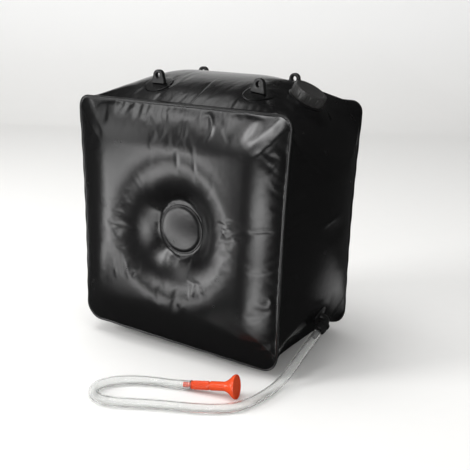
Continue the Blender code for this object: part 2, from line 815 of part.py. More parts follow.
def outlet(band, seat):
    """Elbow spout welded to the film, washer, hose tail, slip ring and the nut that holds them"""
    place, way, corner, aimed = outlet_line()
    marks = outlet_marks()
    spout_tip = corner + aimed * marks["spout_end"]
    inside = place - way * (OVERRUN + NECK_DEPTH)
    line = bend(inside, corner, spout_tip, SPOUT_BEND)
    core = as_mesh(tube("spout_core", line, SPOUT_RADIUS, None, resolution=4, cutter=True))
    past = aimed * OVERRUN
    bore_line = bend(inside - way * OVERRUN, corner, spout_tip + past, SPOUT_BEND)
    bore = as_mesh(tube("spout_bore", bore_line, SPOUT_BORE_RADIUS, None, resolution=2, cutter=True))

    flange = SPOUT_FLANGE_THICKNESS
    spout = turned(
        "outlet_spout",
        [
            (0.0, 2.5 * flange),
            (SPOUT_RADIUS + flange, 2.5 * flange),
            (SPOUT_RADIUS + 2.0 * flange, 1.2 * flange),
            (SPOUT_FLANGE_RADIUS, flange),
            (SPOUT_FLANGE_RADIUS, -NECK_DEPTH),
            (0.0, -NECK_DEPTH),
        ],
        BLACK_MOULDING,
        steps=28,
        ring=False,
    )
    aim(spout, place, way)
    combine(spout, seat, "DIFFERENCE")
    combine(spout, core, "UNION")
    ring_low = marks["ring"]
    ring_high = ring_low + SPOUT_RING_WIDTH
    ring = turned(
        "spout_ring",
        [
            (0.0, ring_high),
            (SPOUT_RING_RADIUS - 0.5 * GAP, ring_high),
            (SPOUT_RING_RADIUS, ring_high - 2.0 * GAP),
            (SPOUT_RING_RADIUS, ring_low + 2.0 * GAP),
            (SPOUT_RING_RADIUS - 0.5 * GAP, ring_low),
            (0.0, ring_low),
        ],
        None,
        steps=28,
        ring=False,
        cutter=True,
    )
    aim(ring, corner, aimed)
    combine(spout, ring, "UNION")
    start = marks["nut"] + OUTLET_THREAD_INSET
    ridge = thread_ridge(
        "spout_thread",
        SPOUT_RADIUS + OUTLET_RIDGE_PROUD - OUTLET_RIDGE_RADIUS,
        OUTLET_RIDGE_RADIUS,
        start,
        OUTLET_PITCH,
        OUTLET_TURNS,
    )
    aim(ridge, corner, aimed)
    combine(spout, ridge, "UNION")
    combine(spout, bore, "DIFFERENCE")

    hole = disc_cutter("outlet_hole", SPOUT_RADIUS + GAP, -NECK_DEPTH - OVERRUN, OVERRUN, steps=24)
    aim(hole, place, way)
    combine(band, hole, "DIFFERENCE")

    washer = turned(
        "outlet_washer",
        [
            (SPOUT_RADIUS, marks["washer"] + WASHER_THICKNESS),
            (SPOUT_RADIUS, marks["washer"]),
            (SPOUT_BORE_RADIUS, marks["washer"]),
            (SPOUT_BORE_RADIUS, marks["washer"] + WASHER_THICKNESS),
        ],
        BLACK_RUBBER,
        steps=24,
    )
    tail = hose_tail(marks)
    slip = turned(
        "nut_slip_ring",
        [
            (SPOUT_RADIUS, marks["slip"] + SLIP_RING_THICKNESS),
            (SPOUT_RADIUS, marks["slip"]),
            (TAIL_RADIUS + GAP, marks["slip"]),
            (TAIL_RADIUS + GAP, marks["slip"] + SLIP_RING_THICKNESS),
        ],
        BLACK_MOULDING,
        steps=24,
    )
    nut = outlet_nut(marks, corner, aimed, start)
    for piece in (washer, tail, slip, nut):
        aim(piece, corner, aimed)


def hose_tail(marks):
    """Flanged tail whose barbs sit in the hose"""
    neck = TAIL_RADIUS
    barb = hose_bore() - GAP
    end = marks["hose"] + TAIL_BARB_LENGTH
    third = TAIL_BARB_LENGTH / 3.0
    profile = [(2.0 * neck - barb, end)]
    for i in range(3):
        low = end - third * (i + 0.7)
        profile.append((barb, low))
        profile.append((neck, low - 0.2 * third))
    profile += [
        (neck, marks["tail"] + TAIL_FLANGE_THICKNESS),
        (SPOUT_RADIUS, marks["tail"] + TAIL_FLANGE_THICKNESS),
        (SPOUT_RADIUS, marks["tail"]),
        (TAIL_BORE_RADIUS, marks["tail"]),
        (TAIL_BORE_RADIUS, end),
    ]
    return turned("outlet_tail", profile, BLACK_MOULDING, steps=16)


def outlet_nut(marks, corner, aimed, start):
    """Ribbed union nut, threaded inside, whose lip holds the tail's flange"""
    bore = nut_bore()
    edge = 2.0 * GAP
    lip_bore = hose_bore()
    nut = turned(
        "outlet_nut",
        [
            (NUT_RADIUS - edge, marks["nut_end"]),
            (NUT_RADIUS, marks["nut_end"] - edge),
            (NUT_RADIUS, marks["nut"]),
            (bore, marks["nut"]),
            (bore, marks["lip"]),
            (lip_bore, marks["lip"]),
            (lip_bore, marks["nut_end"]),
        ],
        BLACK_MOULDING,
        steps=24,
    )
    ribs = blocks(
        "nut_ribs",
        NUT_RIBS,
        NUT_RADIUS,
        NUT_RIB_PROUD,
        NUT_RIB_WIDTH,
        marks["nut"] + edge,
        marks["nut_end"] - 2.0 * edge,
    )
    ridge = thread_ridge(
        "nut_thread",
        bore - OUTLET_RIDGE_PROUD + OUTLET_RIDGE_RADIUS,
        OUTLET_RIDGE_RADIUS,
        start + 0.5 * OUTLET_PITCH,
        OUTLET_PITCH,
        OUTLET_TURNS,
    )
    for shape in (ribs, ridge):
        aim(shape, corner, aimed)
        combine(nut, shape, "UNION")
    return nut


# Hose

def hose_bore():
    """Radius that passes inside the hose between the flats of its sides"""
    return HOSE_RADIUS * math.cos(math.pi / HOSE_SIDES) - HOSE_WALL


def hose_route():
    """Points chosen by hand along the hose, from the outlet to the shower head"""
    lie = HOSE_LIE
    place, way, corner, aimed = outlet_line()
    start = corner + aimed * outlet_marks()["hose"]
    head = Vector(HEAD_START)
    run = Vector(HEAD_AIM).normalized()
    return [
        start,
        start + aimed * HOSE_END_RUN,
        start + aimed * 2.0 * HOSE_END_RUN,
        (0.1955, -0.0745, 0.0370),
        (0.1930, -0.0930, 0.0255),
        (0.1905, -0.1110, 0.0155),
        (0.1885, -0.1290, 0.0092),
        (0.1875, -0.1480, lie),
        (0.1865, -0.1700, lie),
        (0.1830, -0.1930, lie),
        (0.1765, -0.2120, lie),
        (0.1660, -0.2275, lie),
        (0.1500, -0.2405, lie),
        (0.1305, -0.2520, lie),
        (0.1100, -0.2615, lie),
        (0.0885, -0.2710, lie),
        (0.0690, -0.2805, lie),
        (0.0500, -0.2905, lie),
        (0.0330, -0.2990, lie),
        (0.0150, -0.3030, lie),
        (-0.0020, -0.2980, lie),
        (-0.0130, -0.2850, lie),
        (-0.0150, -0.2690, lie),
        (-0.0080, -0.2530, lie),
        (0.0060, -0.2390, lie),
        (0.0240, -0.2280, lie),
        (0.0430, -0.2200, lie),
        (0.0610, -0.2140, lie),
        head - run * 2.0 * HOSE_END_RUN,
        head - run * HOSE_END_RUN,
        head,
    ]


def smooth_line(points, count):
    """Evenly spaced points on the smooth curve through a list of points"""
    knots = [Vector(point) for point in points]
    knots = [2.0 * knots[0] - knots[1]] + knots + [2.0 * knots[-1] - knots[-2]]
    fine = []
    for a, b, c, d in zip(knots, knots[1:], knots[2:], knots[3:]):
        for i in range(ROUTE_STEPS):
            t = i / ROUTE_STEPS
            fine.append(
                0.5 * (2.0 * b + (c - a) * t + (2.0 * a - 5.0 * b + 4.0 * c - d) * t * t
                       + (3.0 * b - 3.0 * c + d - a) * t * t * t)
            )
    fine.append(knots[-2])
    travelled = [0.0]
    for one, two in zip(fine, fine[1:]):
        travelled.append(travelled[-1] + (two - one).length)
    picked = []
    j = 0
    for i in range(count):
        goal = travelled[-1] * i / (count - 1)
        while j < len(fine) - 2 and travelled[j + 1] < goal:
            j += 1
        span = travelled[j + 1] - travelled[j]
        picked.append(fine[j].lerp(fine[j + 1], (goal - travelled[j]) / span))
    return picked, travelled[-1]


def hose():
    """Clear hose along its route, open at both ends"""
    line, length = smooth_line(hose_route(), HOSE_POINTS)
    piece = tube("hose", line, HOSE_RADIUS, CLEAR_HOSE, resolution=HOSE_SIDES // 2 - 2, capped=False)
    thicken(piece, HOSE_WALL)
    print("hose length", round(length, 4))


# Shower head

def head_marks():
    """Distances along the head, from the hose's end"""
    marks = {"shoulder": GAP}
    marks["grip"] = marks["shoulder"] + STEM_SHOULDER_LENGTH + GAP
    marks["grip_end"] = marks["grip"] + GRIP_LENGTH
    marks["rose"] = marks["grip_end"] + ROSE_OFFSET
    marks["socket_end"] = marks["rose"] + ROSE_SOCKET_LENGTH
    marks["seal"] = marks["socket_end"] - ROSE_SEAL_THICKNESS - GAP
    marks["stem_end"] = marks["seal"] - GAP
    marks["flare"] = marks["rose"] + ROSE_NECK_LENGTH
    marks["rim"] = marks["flare"] + ROSE_FLARE_LENGTH
    marks["mouth"] = marks["rim"] + ROSE_RIM_LENGTH
    return marks


def shower_head():
    """Stem with its barbs in the hose, ribbed grip, seal, turning rose and its spray plate"""
    marks = head_marks()
    start = marks["rose"] + ROSE_THREAD_INSET
    pieces = [head_stem(marks, start), head_grip(marks)]
    socket = STEM_RADIUS + ROSE_RIDGE_PROUD + ROSE_CLEARANCE
    pieces.append(
        turned(
            "rose_seal",
            [
                (socket - GAP, marks["seal"] + ROSE_SEAL_THICKNESS),
                (socket - GAP, marks["seal"]),
                (STEM_BORE_RADIUS, marks["seal"]),
                (STEM_BORE_RADIUS, marks["seal"] + ROSE_SEAL_THICKNESS),
            ],
            BLACK_RUBBER,
            steps=24,
        )
    )
    pieces.append(head_rose(marks, start, socket))
    pieces.append(spray_plate(marks))
    for piece in pieces:
        aim(piece, HEAD_START, HEAD_AIM)


def head_stem(marks, start):
    """Hollow stem: barbs, shoulder, the run through the grip, and the thread for the rose"""
    third = STEM_BARB_LENGTH / 3.0
    barb = hose_bore() - GAP
    neck = barb - STEM_BARB_PROUD
    profile = [
        (STEM_RADIUS, marks["stem_end"]),
        (STEM_RADIUS, marks["grip"] - GAP),
        (STEM_SHOULDER_RADIUS, marks["grip"] - GAP),
        (STEM_SHOULDER_RADIUS, marks["shoulder"]),
        (neck, marks["shoulder"]),
    ]
    for i in range(3):
        low = marks["shoulder"] - third * (i + 0.5)
        profile.append((neck, low))
        profile.append((barb, low - 0.1 * third))
        profile.append((neck, low - 0.5 * third))
    end = marks["shoulder"] - STEM_BARB_LENGTH
    profile += [(STEM_BORE_RADIUS, end), (STEM_BORE_RADIUS, marks["stem_end"])]
    stem = turned("head_stem", profile, RED_PLASTIC, steps=20)
    ridge = thread_ridge(
        "stem_thread",
        STEM_RADIUS + ROSE_RIDGE_PROUD - ROSE_RIDGE_RADIUS,
        ROSE_RIDGE_RADIUS,
        start,
        ROSE_PITCH,
        ROSE_TURNS,
    )
    aim(ridge, HEAD_START, HEAD_AIM)
    return combine(stem, ridge, "UNION")


def head_grip(marks):
    """Ribbed sleeve on the stem"""
    inner = STEM_RADIUS + GAP
    body = GRIP_RADIUS - GRIP_RIB_PROUD
    edge = GRIP_RIB_PROUD
    grip = turned(
        "head_grip",
        [
            (body, marks["grip_end"]),
            (body, marks["grip"]),
            (inner, marks["grip"]),
            (inner, marks["grip_end"]),
        ],
        RED_PLASTIC,
        steps=32,
    )
    ribs = blocks(
        "grip_ribs",
        GRIP_RIBS,
        body,
        GRIP_RIB_PROUD,
        GRIP_RIB_WIDTH,
        marks["grip"] + edge,
        marks["grip_end"] - edge,
    )
    aim(ribs, HEAD_START, HEAD_AIM)
    return combine(grip, ribs, "UNION")


def flare_radius(share):
    """Radius of the trumpet part of the rose at a share of its length"""
    return ROSE_NECK_RADIUS + (ROSE_RIM_RADIUS - ROSE_NECK_RADIUS) * share ** FLARE_POWER


def head_rose(marks, start, socket):
    """Trumpet-shaped rose that screws on the stem"""
    shares = [i / ROSE_FLARE_STEPS for i in range(ROSE_FLARE_STEPS + 1)]
    outer = [(flare_radius(s), marks["flare"] + ROSE_FLARE_LENGTH * s) for s in shares]
    throat = ROSE_NECK_RADIUS - ROSE_WALL
    inner = [
        (max(throat, flare_radius(s) - ROSE_WALL), marks["flare"] + ROSE_FLARE_LENGTH * s)
        for s in shares
    ]
    lip = ROSE_RIM_RADIUS - ROSE_WALL
    profile = [(lip, marks["mouth"]), (ROSE_RIM_RADIUS - ROSE_EDGE, marks["mouth"])]
    profile.append((ROSE_RIM_RADIUS, marks["mouth"] - ROSE_EDGE))
    profile += list(reversed(outer))
    profile += [
        (ROSE_NECK_RADIUS, marks["rose"]),
        (socket, marks["rose"]),
        (socket, marks["socket_end"]),
        (STEM_BORE_RADIUS, marks["socket_end"]),
        (STEM_BORE_RADIUS, marks["socket_end"] + ROSE_WALL),
        (throat, marks["socket_end"] + 2.0 * ROSE_WALL),
    ]
    profile += inner
    rose = turned("head_rose", profile, RED_PLASTIC, steps=24)
    ridge = thread_ridge(
        "rose_thread",
        socket - ROSE_RIDGE_PROUD + ROSE_RIDGE_RADIUS,
        ROSE_RIDGE_RADIUS,
        start + 0.5 * ROSE_PITCH,
        ROSE_PITCH,
        ROSE_TURNS,
    )
    aim(ridge, HEAD_START, HEAD_AIM)
    return combine(rose, ridge, "UNION")


def spray_plate(marks):
    """Perforated plate in the rose's mouth"""
    radius = ROSE_RIM_RADIUS - ROSE_WALL - GAP
    high = marks["mouth"] - ROSE_WALL
    low = high - SPRAY_PLATE_THICKNESS
    plate = turned(
        "spray_plate",
        [(0.0, high), (radius, high), (radius, low), (0.0, low)],
        RED_PLASTIC,
        steps=24,
        ring=False,
    )
    mesh = bpy.data.meshes.new("spray_holes")
    maker = bmesh.new()
    for count, share in zip(SPRAY_HOLE_COUNTS, SPRAY_RINGS_SHARES):
        for i in range(count):
            angle = 2.0 * math.pi * i / count
            middle = Vector((math.cos(angle), math.sin(angle), 0.0)) * radius * share
            place = Matrix.Translation(middle + Vector((0.0, 0.0, 0.5 * (low + high))))
            bmesh.ops.create_cone(
                maker,
                cap_ends=True,
                segments=6,
                radius1=SPRAY_HOLE_RADIUS,
                radius2=SPRAY_HOLE_RADIUS,
                depth=3.0 * SPRAY_PLATE_THICKNESS,
                matrix=place,
            )
    maker.to_mesh(mesh)
    maker.free()
    holes = add_object("spray_holes", mesh, None, cutter=True)
    aim(holes, HEAD_START, HEAD_AIM)
    return combine(plate, holes, "DIFFERENCE")


def build():
    """Makes every piece of the shower bag"""
    band = bag_shell()
    seat = envelope("film_seat", GAP)
    patch_skin = envelope("patch_skin", GAP + PATCH_THICKNESS)
    lug_seat = envelope("lug_seat", GAP + PATCH_THICKNESS + GAP)
    tie()
    hanging_eyes(seat, patch_skin, lug_seat)
    filler(band, seat)
    outlet(band, seat)
    hose()
    shower_head()
    bpy.context.view_layer.update()


build()
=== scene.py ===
"""Camp shower bag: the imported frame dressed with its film, fittings, clear hose and red head."""
import json
import math

import bmesh
import bpy
from mathutils import Matrix, Vector
from mathutils.bvhtree import BVHTree


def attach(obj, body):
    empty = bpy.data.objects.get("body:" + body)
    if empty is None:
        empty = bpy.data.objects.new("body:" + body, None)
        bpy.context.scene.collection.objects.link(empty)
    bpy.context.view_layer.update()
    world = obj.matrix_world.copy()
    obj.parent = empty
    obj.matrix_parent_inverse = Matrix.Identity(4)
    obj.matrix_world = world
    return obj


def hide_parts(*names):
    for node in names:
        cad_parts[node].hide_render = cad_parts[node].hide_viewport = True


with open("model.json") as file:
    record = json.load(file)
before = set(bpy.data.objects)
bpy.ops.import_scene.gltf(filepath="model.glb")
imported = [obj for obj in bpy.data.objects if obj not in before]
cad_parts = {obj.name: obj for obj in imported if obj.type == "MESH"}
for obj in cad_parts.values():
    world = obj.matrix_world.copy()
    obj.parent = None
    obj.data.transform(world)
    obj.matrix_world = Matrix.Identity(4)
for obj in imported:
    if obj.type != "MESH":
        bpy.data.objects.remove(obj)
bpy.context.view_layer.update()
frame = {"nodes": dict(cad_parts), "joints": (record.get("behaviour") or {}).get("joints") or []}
JOINTS = {joint["name"]: joint for joint in frame["joints"]}

bl_info = {
    "name": "Camp shower bag",
    "version": (1, 0, 0),
    "blender": (4, 5, 0),
    "location": "3D View > Sidebar > Shower bag",
    "description": "Builds a camp shower bag round its packed frame",
    "category": "Add Mesh",
}

# Fits
GAP = 0.0003
MERGE = 0.00002
RIM_ANGLE = math.radians(30)
RIB_ANGLE = math.radians(24)
SHADE_ANGLE = math.radians(38)
FULL_TURN = 2.0 * math.pi
SLANT = math.sqrt(0.5)

# Bag outline, as in the part's source
FACE_WIDTH = 0.365
FACE_HEIGHT = 0.359
DEPTH = 0.225
SEAM_LIFT = 0.0184
SIDE_SWELL = 0.022
TOP_SWELL = 0.0387
FLOOR_SWELL = 0.024
TOP_SEAM_CORNER = 0.018
LOW_SEAM_CORNER = 0.026
TOP_MID_CORNER = 0.150
LOW_MID_CORNER = 0.119
CORNER_POWER = 0.8
EDGE_DRAW = 0.004
TAPER_SHARE = 0.042
LEFT_LIFT = 0.0053
TIE_RECESS = 0.0106
MIDDLE = SEAM_LIFT + 0.5 * FACE_HEIGHT

# Relief of the two faces, a little shallower than in the part's source
FACE_RIDGE = 0.017
RIDGE_SHARE = 0.36
CRATER_RADIUS = 0.116
CRATER_POWER = 2.5
CRATER_SQUEEZE = 0.88
CRATER_LIFT = 0.005
TIE_HEIGHT = MIDDLE - 0.0039

# Film grid
FILM_CELLS = 96
FILM_CELLS_DEEP = 28
FLAT_SHARE = 0.22
TIE_DISC_RADIUS = 0.0375
TIE_FLAT_MARGIN = 0.0010
PULL_RADIUS_SHARE = 1.9
PUFF_FRAMES = 20
FILM_SLACK = 0.008
AIR_PRESSURE = 1.5
HOLD_MARGIN = 0.0020
FLOOR_HOLD = 0.0060
CLOTH = {
    "quality": 6, "mass": 0.05, "tension_stiffness": 30.0, "compression_stiffness": 30.0,
    "shear_stiffness": 10.0, "bending_stiffness": 0.05, "shrink_min": -FILM_SLACK,
    "use_pressure": True, "uniform_pressure_force": AIR_PRESSURE,
}
CREASE_REACH = 2.5
SEAM_GAP = 0.0001
FIN_WAVE = 0.12
FIN_WAVES = (140.0, 170.0)
LAP_EDGE = (0.0200, 0.0212)
LAP_FOOT = (0.379, 0.382)

# Tie discs: thickness at the rim, and (share of the radius, height over the rim) outwards
DISC_RIM = 0.0012
DISC_DOME = (
    (0.0, 0.0015), (0.20, 0.00144), (0.40, 0.00126), (0.60, 0.00096), (0.78, 0.00056), (0.90, 0.00020),
    (0.930, -0.0004), (0.955, -0.0005), (0.975, -0.0001), (0.99, -0.0001),
)
DISC_STEPS = 72
DISC_EDGE = 0.0004

# Hanging eyes
EYES = {
    "front_left": (-0.0633, -0.0727),
    "front_right": (0.1063, -0.0727),
    "back_left": (-0.0883, 0.0820),
    "back_right": (0.0813, 0.0820),
}
PATCH_RADIUS = 0.0220
PATCH_THICKNESS = 0.0012
PATCH_RINGS = 12
PATCH_STEPS = 48
PATCH_RIM = ((0.97, 0.95), (1.0, 0.6), (1.0, -0.3))
LUG_HEAD_RADIUS = 0.0085
LUG_HOLE_RADIUS = 0.0040
LUG_HALF_FOOT = 0.0115
LUG_EYE_HEIGHT = 0.0125
LUG_FOOT_LOW = 0.0008
LUG_FOOT_HIGH = 0.0031
LUG_THICKNESS = 0.0075
LUG_ROUNDING = 0.0012
LUG_STEPS = 48

# Filler and cap, from the shoulder of the film along the cap's axis
CAP_PLACE = Vector(JOINTS["cap_turn"]["pos_m"])
CAP_AXIS = Vector(JOINTS["cap_turn"]["axis"]).normalized()
FLANGE_RADIUS = 0.0275
FLANGE_THICKNESS = 0.0015
NECK_BORE_RADIUS = 0.0185
NECK_WALL = 0.0027
NECK_RADIUS = NECK_BORE_RADIUS + NECK_WALL
NECK_HEIGHT = 0.0126
NECK_DEPTH = 0.0110
NECK_STEPS = 96
FILLER_PITCH = 0.0045
FILLER_RIDGE = 0.0010
FILLER_TURNS = 1.25
FILLER_LAND = 0.0027
CAP_CHAMFER = 0.0008
CAP_RADIUS = 0.0250
CAP_BORE = NECK_RADIUS + FILLER_RIDGE + 0.0006
CAP_CROWN = 0.0173
CAP_LID = 0.0147
CAP_FOOT = CAP_CROWN - 0.0155
CAP_RIM_WIDTH = 0.0048
CAP_DISH = 0.0006
CAP_RIBS = 14
CAP_RIB_PROUD = 0.0009
CAP_RIB_WIDTH = 0.0063
CAP_RIB_MARGIN = 0.003

# Outlet, from the film along the way out, then from the elbow along the nut's axis
OUTLET_PLACE = Vector((0.19082, -0.0143, 0.07379))
OUTLET_WAY = Vector((0.944376, 0.0, -0.328867))
SPOUT_CORNER = Vector(JOINTS["nut_turn"]["pos_m"])
NUT_AXIS = Vector(JOINTS["nut_turn"]["axis"]).normalized()
SPOUT_RADIUS = 0.0054
SPOUT_BORE = 0.0034
SPOUT_FLANGE_RADIUS = 0.0150
SPOUT_FLANGE = 0.0012
SPOUT_BEND = 0.0070
SPOUT_STEPS = 64
PIPE_STEPS = 40
RING_RADIUS = 0.0092
RING_START = 0.0085
RING_END = 0.0130
NUT_START = 0.0133
SPOUT_END = 0.0191
TAIL_START = 0.0207
NUT_LIP_START = 0.0231
NUT_END = 0.0243
HOSE_START = 0.0283
NUT_RADIUS = 0.0078
NUT_BORE = 0.0063
NUT_RIBS = 12
NUT_RIB_PROUD = 0.0007
NUT_RIB_WIDTH = 0.0022
NUT_RIB_MARGIN = 0.002
TAIL_RADIUS = 0.0038
TAIL_BORE = 0.0028
TAIL_BARB = 0.0041
TAIL_BARB_LENGTH = 0.0105
TAIL_STEPS = 48

# Small threads: ridges of the nut and of the rose, and the pitch and turns of both
NUT_RIDGE = 0.0006
ROSE_RIDGE = 0.0004
SMALL_PITCH = 0.0024
SMALL_TURNS = 1.25
THREAD_STEPS = 40
SPOUT_THREAD = NUT_START + 0.0017
NUT_THREAD = NUT_START + 0.0029

# Hose
HOSE_RADIUS = 0.0065
HOSE_WALL = 0.0016
HOSE_LIE = 0.0069
HOSE_END_RUN = 0.0075
HOSE_STEPS = 200
ROUTE_STEPS = 24

# Shower head, along its axis from the hose's end
HEAD_START = Vector((0.0919, -0.2040, 0.0092))
HEAD_AIM = Vector((0.963, 0.236, 0.129)).normalized()
STEM_RADIUS = 0.0046
STEM_STEPS = 40
STEM_BORE = 0.0028
STEM_BARB_LENGTH = 0.0120
STEM_BARB = 0.0041
STEM_SHOULDER_RADIUS = 0.0060
SHOULDER_START = 0.0003
SHOULDER_END = 0.0015
GRIP_START = 0.0018
GRIP_END = 0.0270
GRIP_RADIUS = 0.0064
BEAD_ROWS = 8
BEAD_COLUMNS = 18
BEAD_HEIGHT = 0.0009
BEAD_GAP = 0.00045
BEAD_MARGIN = 0.0016
ROSE_START = 0.0280
STEM_THREAD = ROSE_START + 0.0022
ROSE_THREAD = ROSE_START + 0.0034
ROSE_SOCKET_END = 0.0390
STEM_END = 0.0374
FLARE_START = 0.0470
RIM_START = 0.0620
MOUTH = 0.0660
ROSE_NECK_RADIUS = 0.0064
ROSE_RIM_RADIUS = 0.0168
ROSE_WALL = 0.0014
ROSE_STEPS = 72
ROSE_SOCKET = 0.0053
FLARE_POWER = 1.7
FLARE_STEPS = 10
PLATE_RADIUS = 0.0151
PLATE_HIGH = 0.0646
PLATE_LOW = 0.0632
SPRAY_HOLE_RADIUS = 0.0007
SPRAY_HOLE_SIDES = 10
SPRAY_BEAD = 0.0006
SPRAY_HOLE_COUNTS = (1, 6, 12, 18)
SPRAY_HOLE_SHARES = (0.0, 0.27, 0.53, 0.79)

# Camera, from the fitted view of the photograph
EYE = Vector((0.6692, -1.0437, 0.5145))
EYE_RIGHT = Vector((0.8489, 0.5279, 0.0253))
EYE_UP = Vector((-0.1649, 0.2191, 0.9617))
EYE_BACK = Vector((0.5021, -0.8205, 0.2731))
LENS = 62.0
SENSOR = 36.0

# Glowing cards that only the gloss of the bag sees and that make its highlights: name, place, what it
# faces, width, height and glow level
GLOSS_CARDS = (
    ("left_card", (-0.45, -0.48, 0.03), (0.0, -0.48, 0.03), 0.24, 0.50, 7.5),
    ("far_left_card", (-0.45, -0.68, 0.18), (0.0, -0.68, 0.18), 0.22, 0.26, 7.5),
    ("mid_left_card", (-0.45, -0.54, 0.42), (0.0, -0.54, 0.42), 0.40, 0.40, 2.2),
    ("left_strip", (-0.45, -0.37, 0.0), (0.0, -0.37, 0.0), 0.17, 0.14, 7.0),
    ("left_floor_card", (-0.375, -0.52, 0.003), (-0.375, -0.52, 1.0), 0.15, 0.22, 7.0),
    ("near_floor_card", (-0.24, -0.47, 0.003), (-0.24, -0.47, 1.0), 0.22, 0.26, 6.5),
    ("front_strip", (-0.31, -0.62, 0.17), (-0.31, 0.0, 0.17), 0.18, 0.14, 8.0),
    ("right_card", (0.165, -0.62, 0.10), (0.165, 0.0, 0.10), 0.27, 0.24, 6.5),
    ("right_floor_card", (0.158, -0.445, 0.003), (0.158, -0.445, 1.0), 0.17, 0.34, 6.0),
    ("high_card", (-0.04, -0.62, 0.54), (-0.04, 0.0, 0.54), 0.32, 0.32, 11.5),
    ("high_left_card", (-0.45, -0.62, 0.73), (-0.45, 0.0, 0.73), 0.56, 0.30, 5.6),
    ("top_card", (-0.46, 0.06, 1.10), (0.0, -0.08, 0.41), 0.30, 0.20, 3.4),
    ("back_floor_card", (0.31, 0.28, 0.003), (0.31, 0.28, 1.0), 0.30, 0.30, 0.6),
)
# Dark tent, seen only in reflections, which darkens the film's reflections
TENT_SIZE = 5.6
TENT_HEIGHT = 2.8
TENT_GREY = 0.03
TENT_DROP = 0.0001

# Soft boxes: name, place, width, height and power; all face LIT_PLACE
LAMPS = (
    ("left_box", (-1.7, -1.8, 1.2), 0.9, 1.2, 50.0),
    ("top_box", (-0.3, -0.3, 2.3), 1.4, 1.2, 26.0),
    ("right_box", (1.5, -2.3, 0.9), 0.35, 1.3, 12.0),
)
LIT_PLACE = (0.0, 0.0, 0.2)
WORLD_LEVEL = 0.62

# Floor and backdrop
SWEEP_NEAR = -3.0
SWEEP_FAR = 2.2
SWEEP_BEND = 0.8
SWEEP_TOP = 3.2
SWEEP_HALF_WIDTH = 4.0
SWEEP_TURN = math.radians(31.5)
SWEEP_DROP = 0.0002
BACKDROP_FROM = 0.6


# Settings

def length_setting(name, text, default):
    """Setting in metres"""
    return bpy.props.FloatProperty(name=name, description=text, default=default, unit="LENGTH")


def colour_setting(name, text, default):
    """Setting for a colour"""
    return bpy.props.FloatVectorProperty(name=name, description=text, default=default, subtype="COLOR")


class FilmSettings(bpy.types.PropertyGroup):
    """Film of the bag"""

    wall: length_setting("Film thickness", "Thickness of the film", 0.0005)
    fin: length_setting("Weld fin", "Width of the fin on the weld seams", 0.0026)
    pucker: length_setting("Pucker", "Furthest that the film may pucker", 0.0020)
    colour: colour_setting("Film colour", "Colour of the film", (0.0045, 0.0045, 0.0046))


class FittingSettings(bpy.types.PropertyGroup):
    """Moulded fittings"""

    edge: length_setting("Edge radius", "Rounding of the moulded edges", 0.0005)
    colour: colour_setting("Moulding colour", "Colour of the black mouldings", (0.010, 0.010, 0.010))
    cap_colour: colour_setting("Cap colour", "Colour of the filler cap", (0.032, 0.0315, 0.031))


class HoseSettings(bpy.types.PropertyGroup):
    """Hose and shower head"""

    clear: colour_setting("Hose tint", "Tint of the clear hose", (0.97, 0.975, 0.97))
    red: colour_setting("Head colour", "Colour of the shower head", (0.78, 0.082, 0.022))


class StageSettings(bpy.types.PropertyGroup):
    """Floor and lights"""

    floor: colour_setting("Floor colour", "Colour of the floor", (0.84, 0.835, 0.82))
    wall: colour_setting("Backdrop colour", "Colour of the backdrop", (0.97, 0.97, 0.965))
    level: bpy.props.FloatProperty(
        name="Light level", description="Strength of all the lamps together", default=1.0, min=0.0
    )


# Shader nodes

class Signal:
    """Output of a shader node; sums with it add their Math nodes"""

    def __init__(self, paint, socket):
        self.paint = paint
        self.socket = socket

    def __add__(self, other):
        return self.paint.maths("ADD", self, other)

    __radd__ = __add__

    def __mul__(self, other):
        return self.paint.maths("MULTIPLY", self, other)

    def __rsub__(self, other):
        return self.paint.maths("SUBTRACT", other, self)


class Paint:
    """Material under construction"""

    def __init__(self, name):
        self.material = bpy.data.materials.new(name)
        self.material.use_nodes = True
        self.tree = self.material.node_tree
        self.shader = self.tree.nodes["Principled BSDF"]

    def node(self, kind, settings=None, sockets=None, out=0):
        """Adds a node: its settings first, then the values or links of its sockets"""
        made = self.tree.nodes.new(kind)
        for key, value in (settings or {}).items():
            setattr(made, key, value)
        for key, value in (sockets or {}).items():
            self.feed(made.inputs[key], value)
        return Signal(self, made.outputs[out])

    def feed(self, socket, value):
        """Links a signal to a socket, or sets the socket's own value"""
        if isinstance(value, Signal):
            self.tree.links.new(value.socket, socket)
        else:
            socket.default_value = value

    def maths(self, operation, first, second):
        """Math node on two numbers or signals"""
        return self.node("ShaderNodeMath", {"operation": operation}, {0: first, 1: second})

    def mix(self, factor, first, second):
        """Colour between two colours"""
        colours = [value if isinstance(value, Signal) else (*value, 1.0) for value in (first, second)]
        sockets = {0: factor, 6: colours[0], 7: colours[1]}
        return self.node("ShaderNodeMix", {"data_type": "RGBA"}, sockets, out=2)

    def place(self):
        """Object coordinates"""
        return self.node("ShaderNodeTexCoord", out="Object")

    def part(self, at, axis):
        """One axis of a place"""
        return self.node("ShaderNodeSeparateXYZ", {}, {"Vector": at}, out=axis)

    def noise(self, at, scale, detail=2.0, roughness=0.5):
        """Noise between 0 and 1"""
        sockets = {"Vector": at, "Scale": scale, "Detail": detail, "Roughness": roughness}
        return self.node("ShaderNodeTexNoise", {}, sockets, out="Fac")

    def step(self, value, low, high):
        """Smooth step of a signal from low to high"""
        sockets = {"Value": value, "From Min": low, "From Max": high}
        return self.node("ShaderNodeMapRange", {"interpolation_type": "SMOOTHSTEP"}, sockets)

    def bump(self, height, distance):
        """Normal bent by a height"""
        return self.node("ShaderNodeBump", {}, {"Height": height, "Distance": distance, "Strength": 1.0})

    def surface(self, **values):
        """Sets or links the shader's sockets, whose names are written with underscores"""
        for key, value in values.items():
            self.feed(self.shader.inputs[key.replace("_", " ")], value)
        return self.material


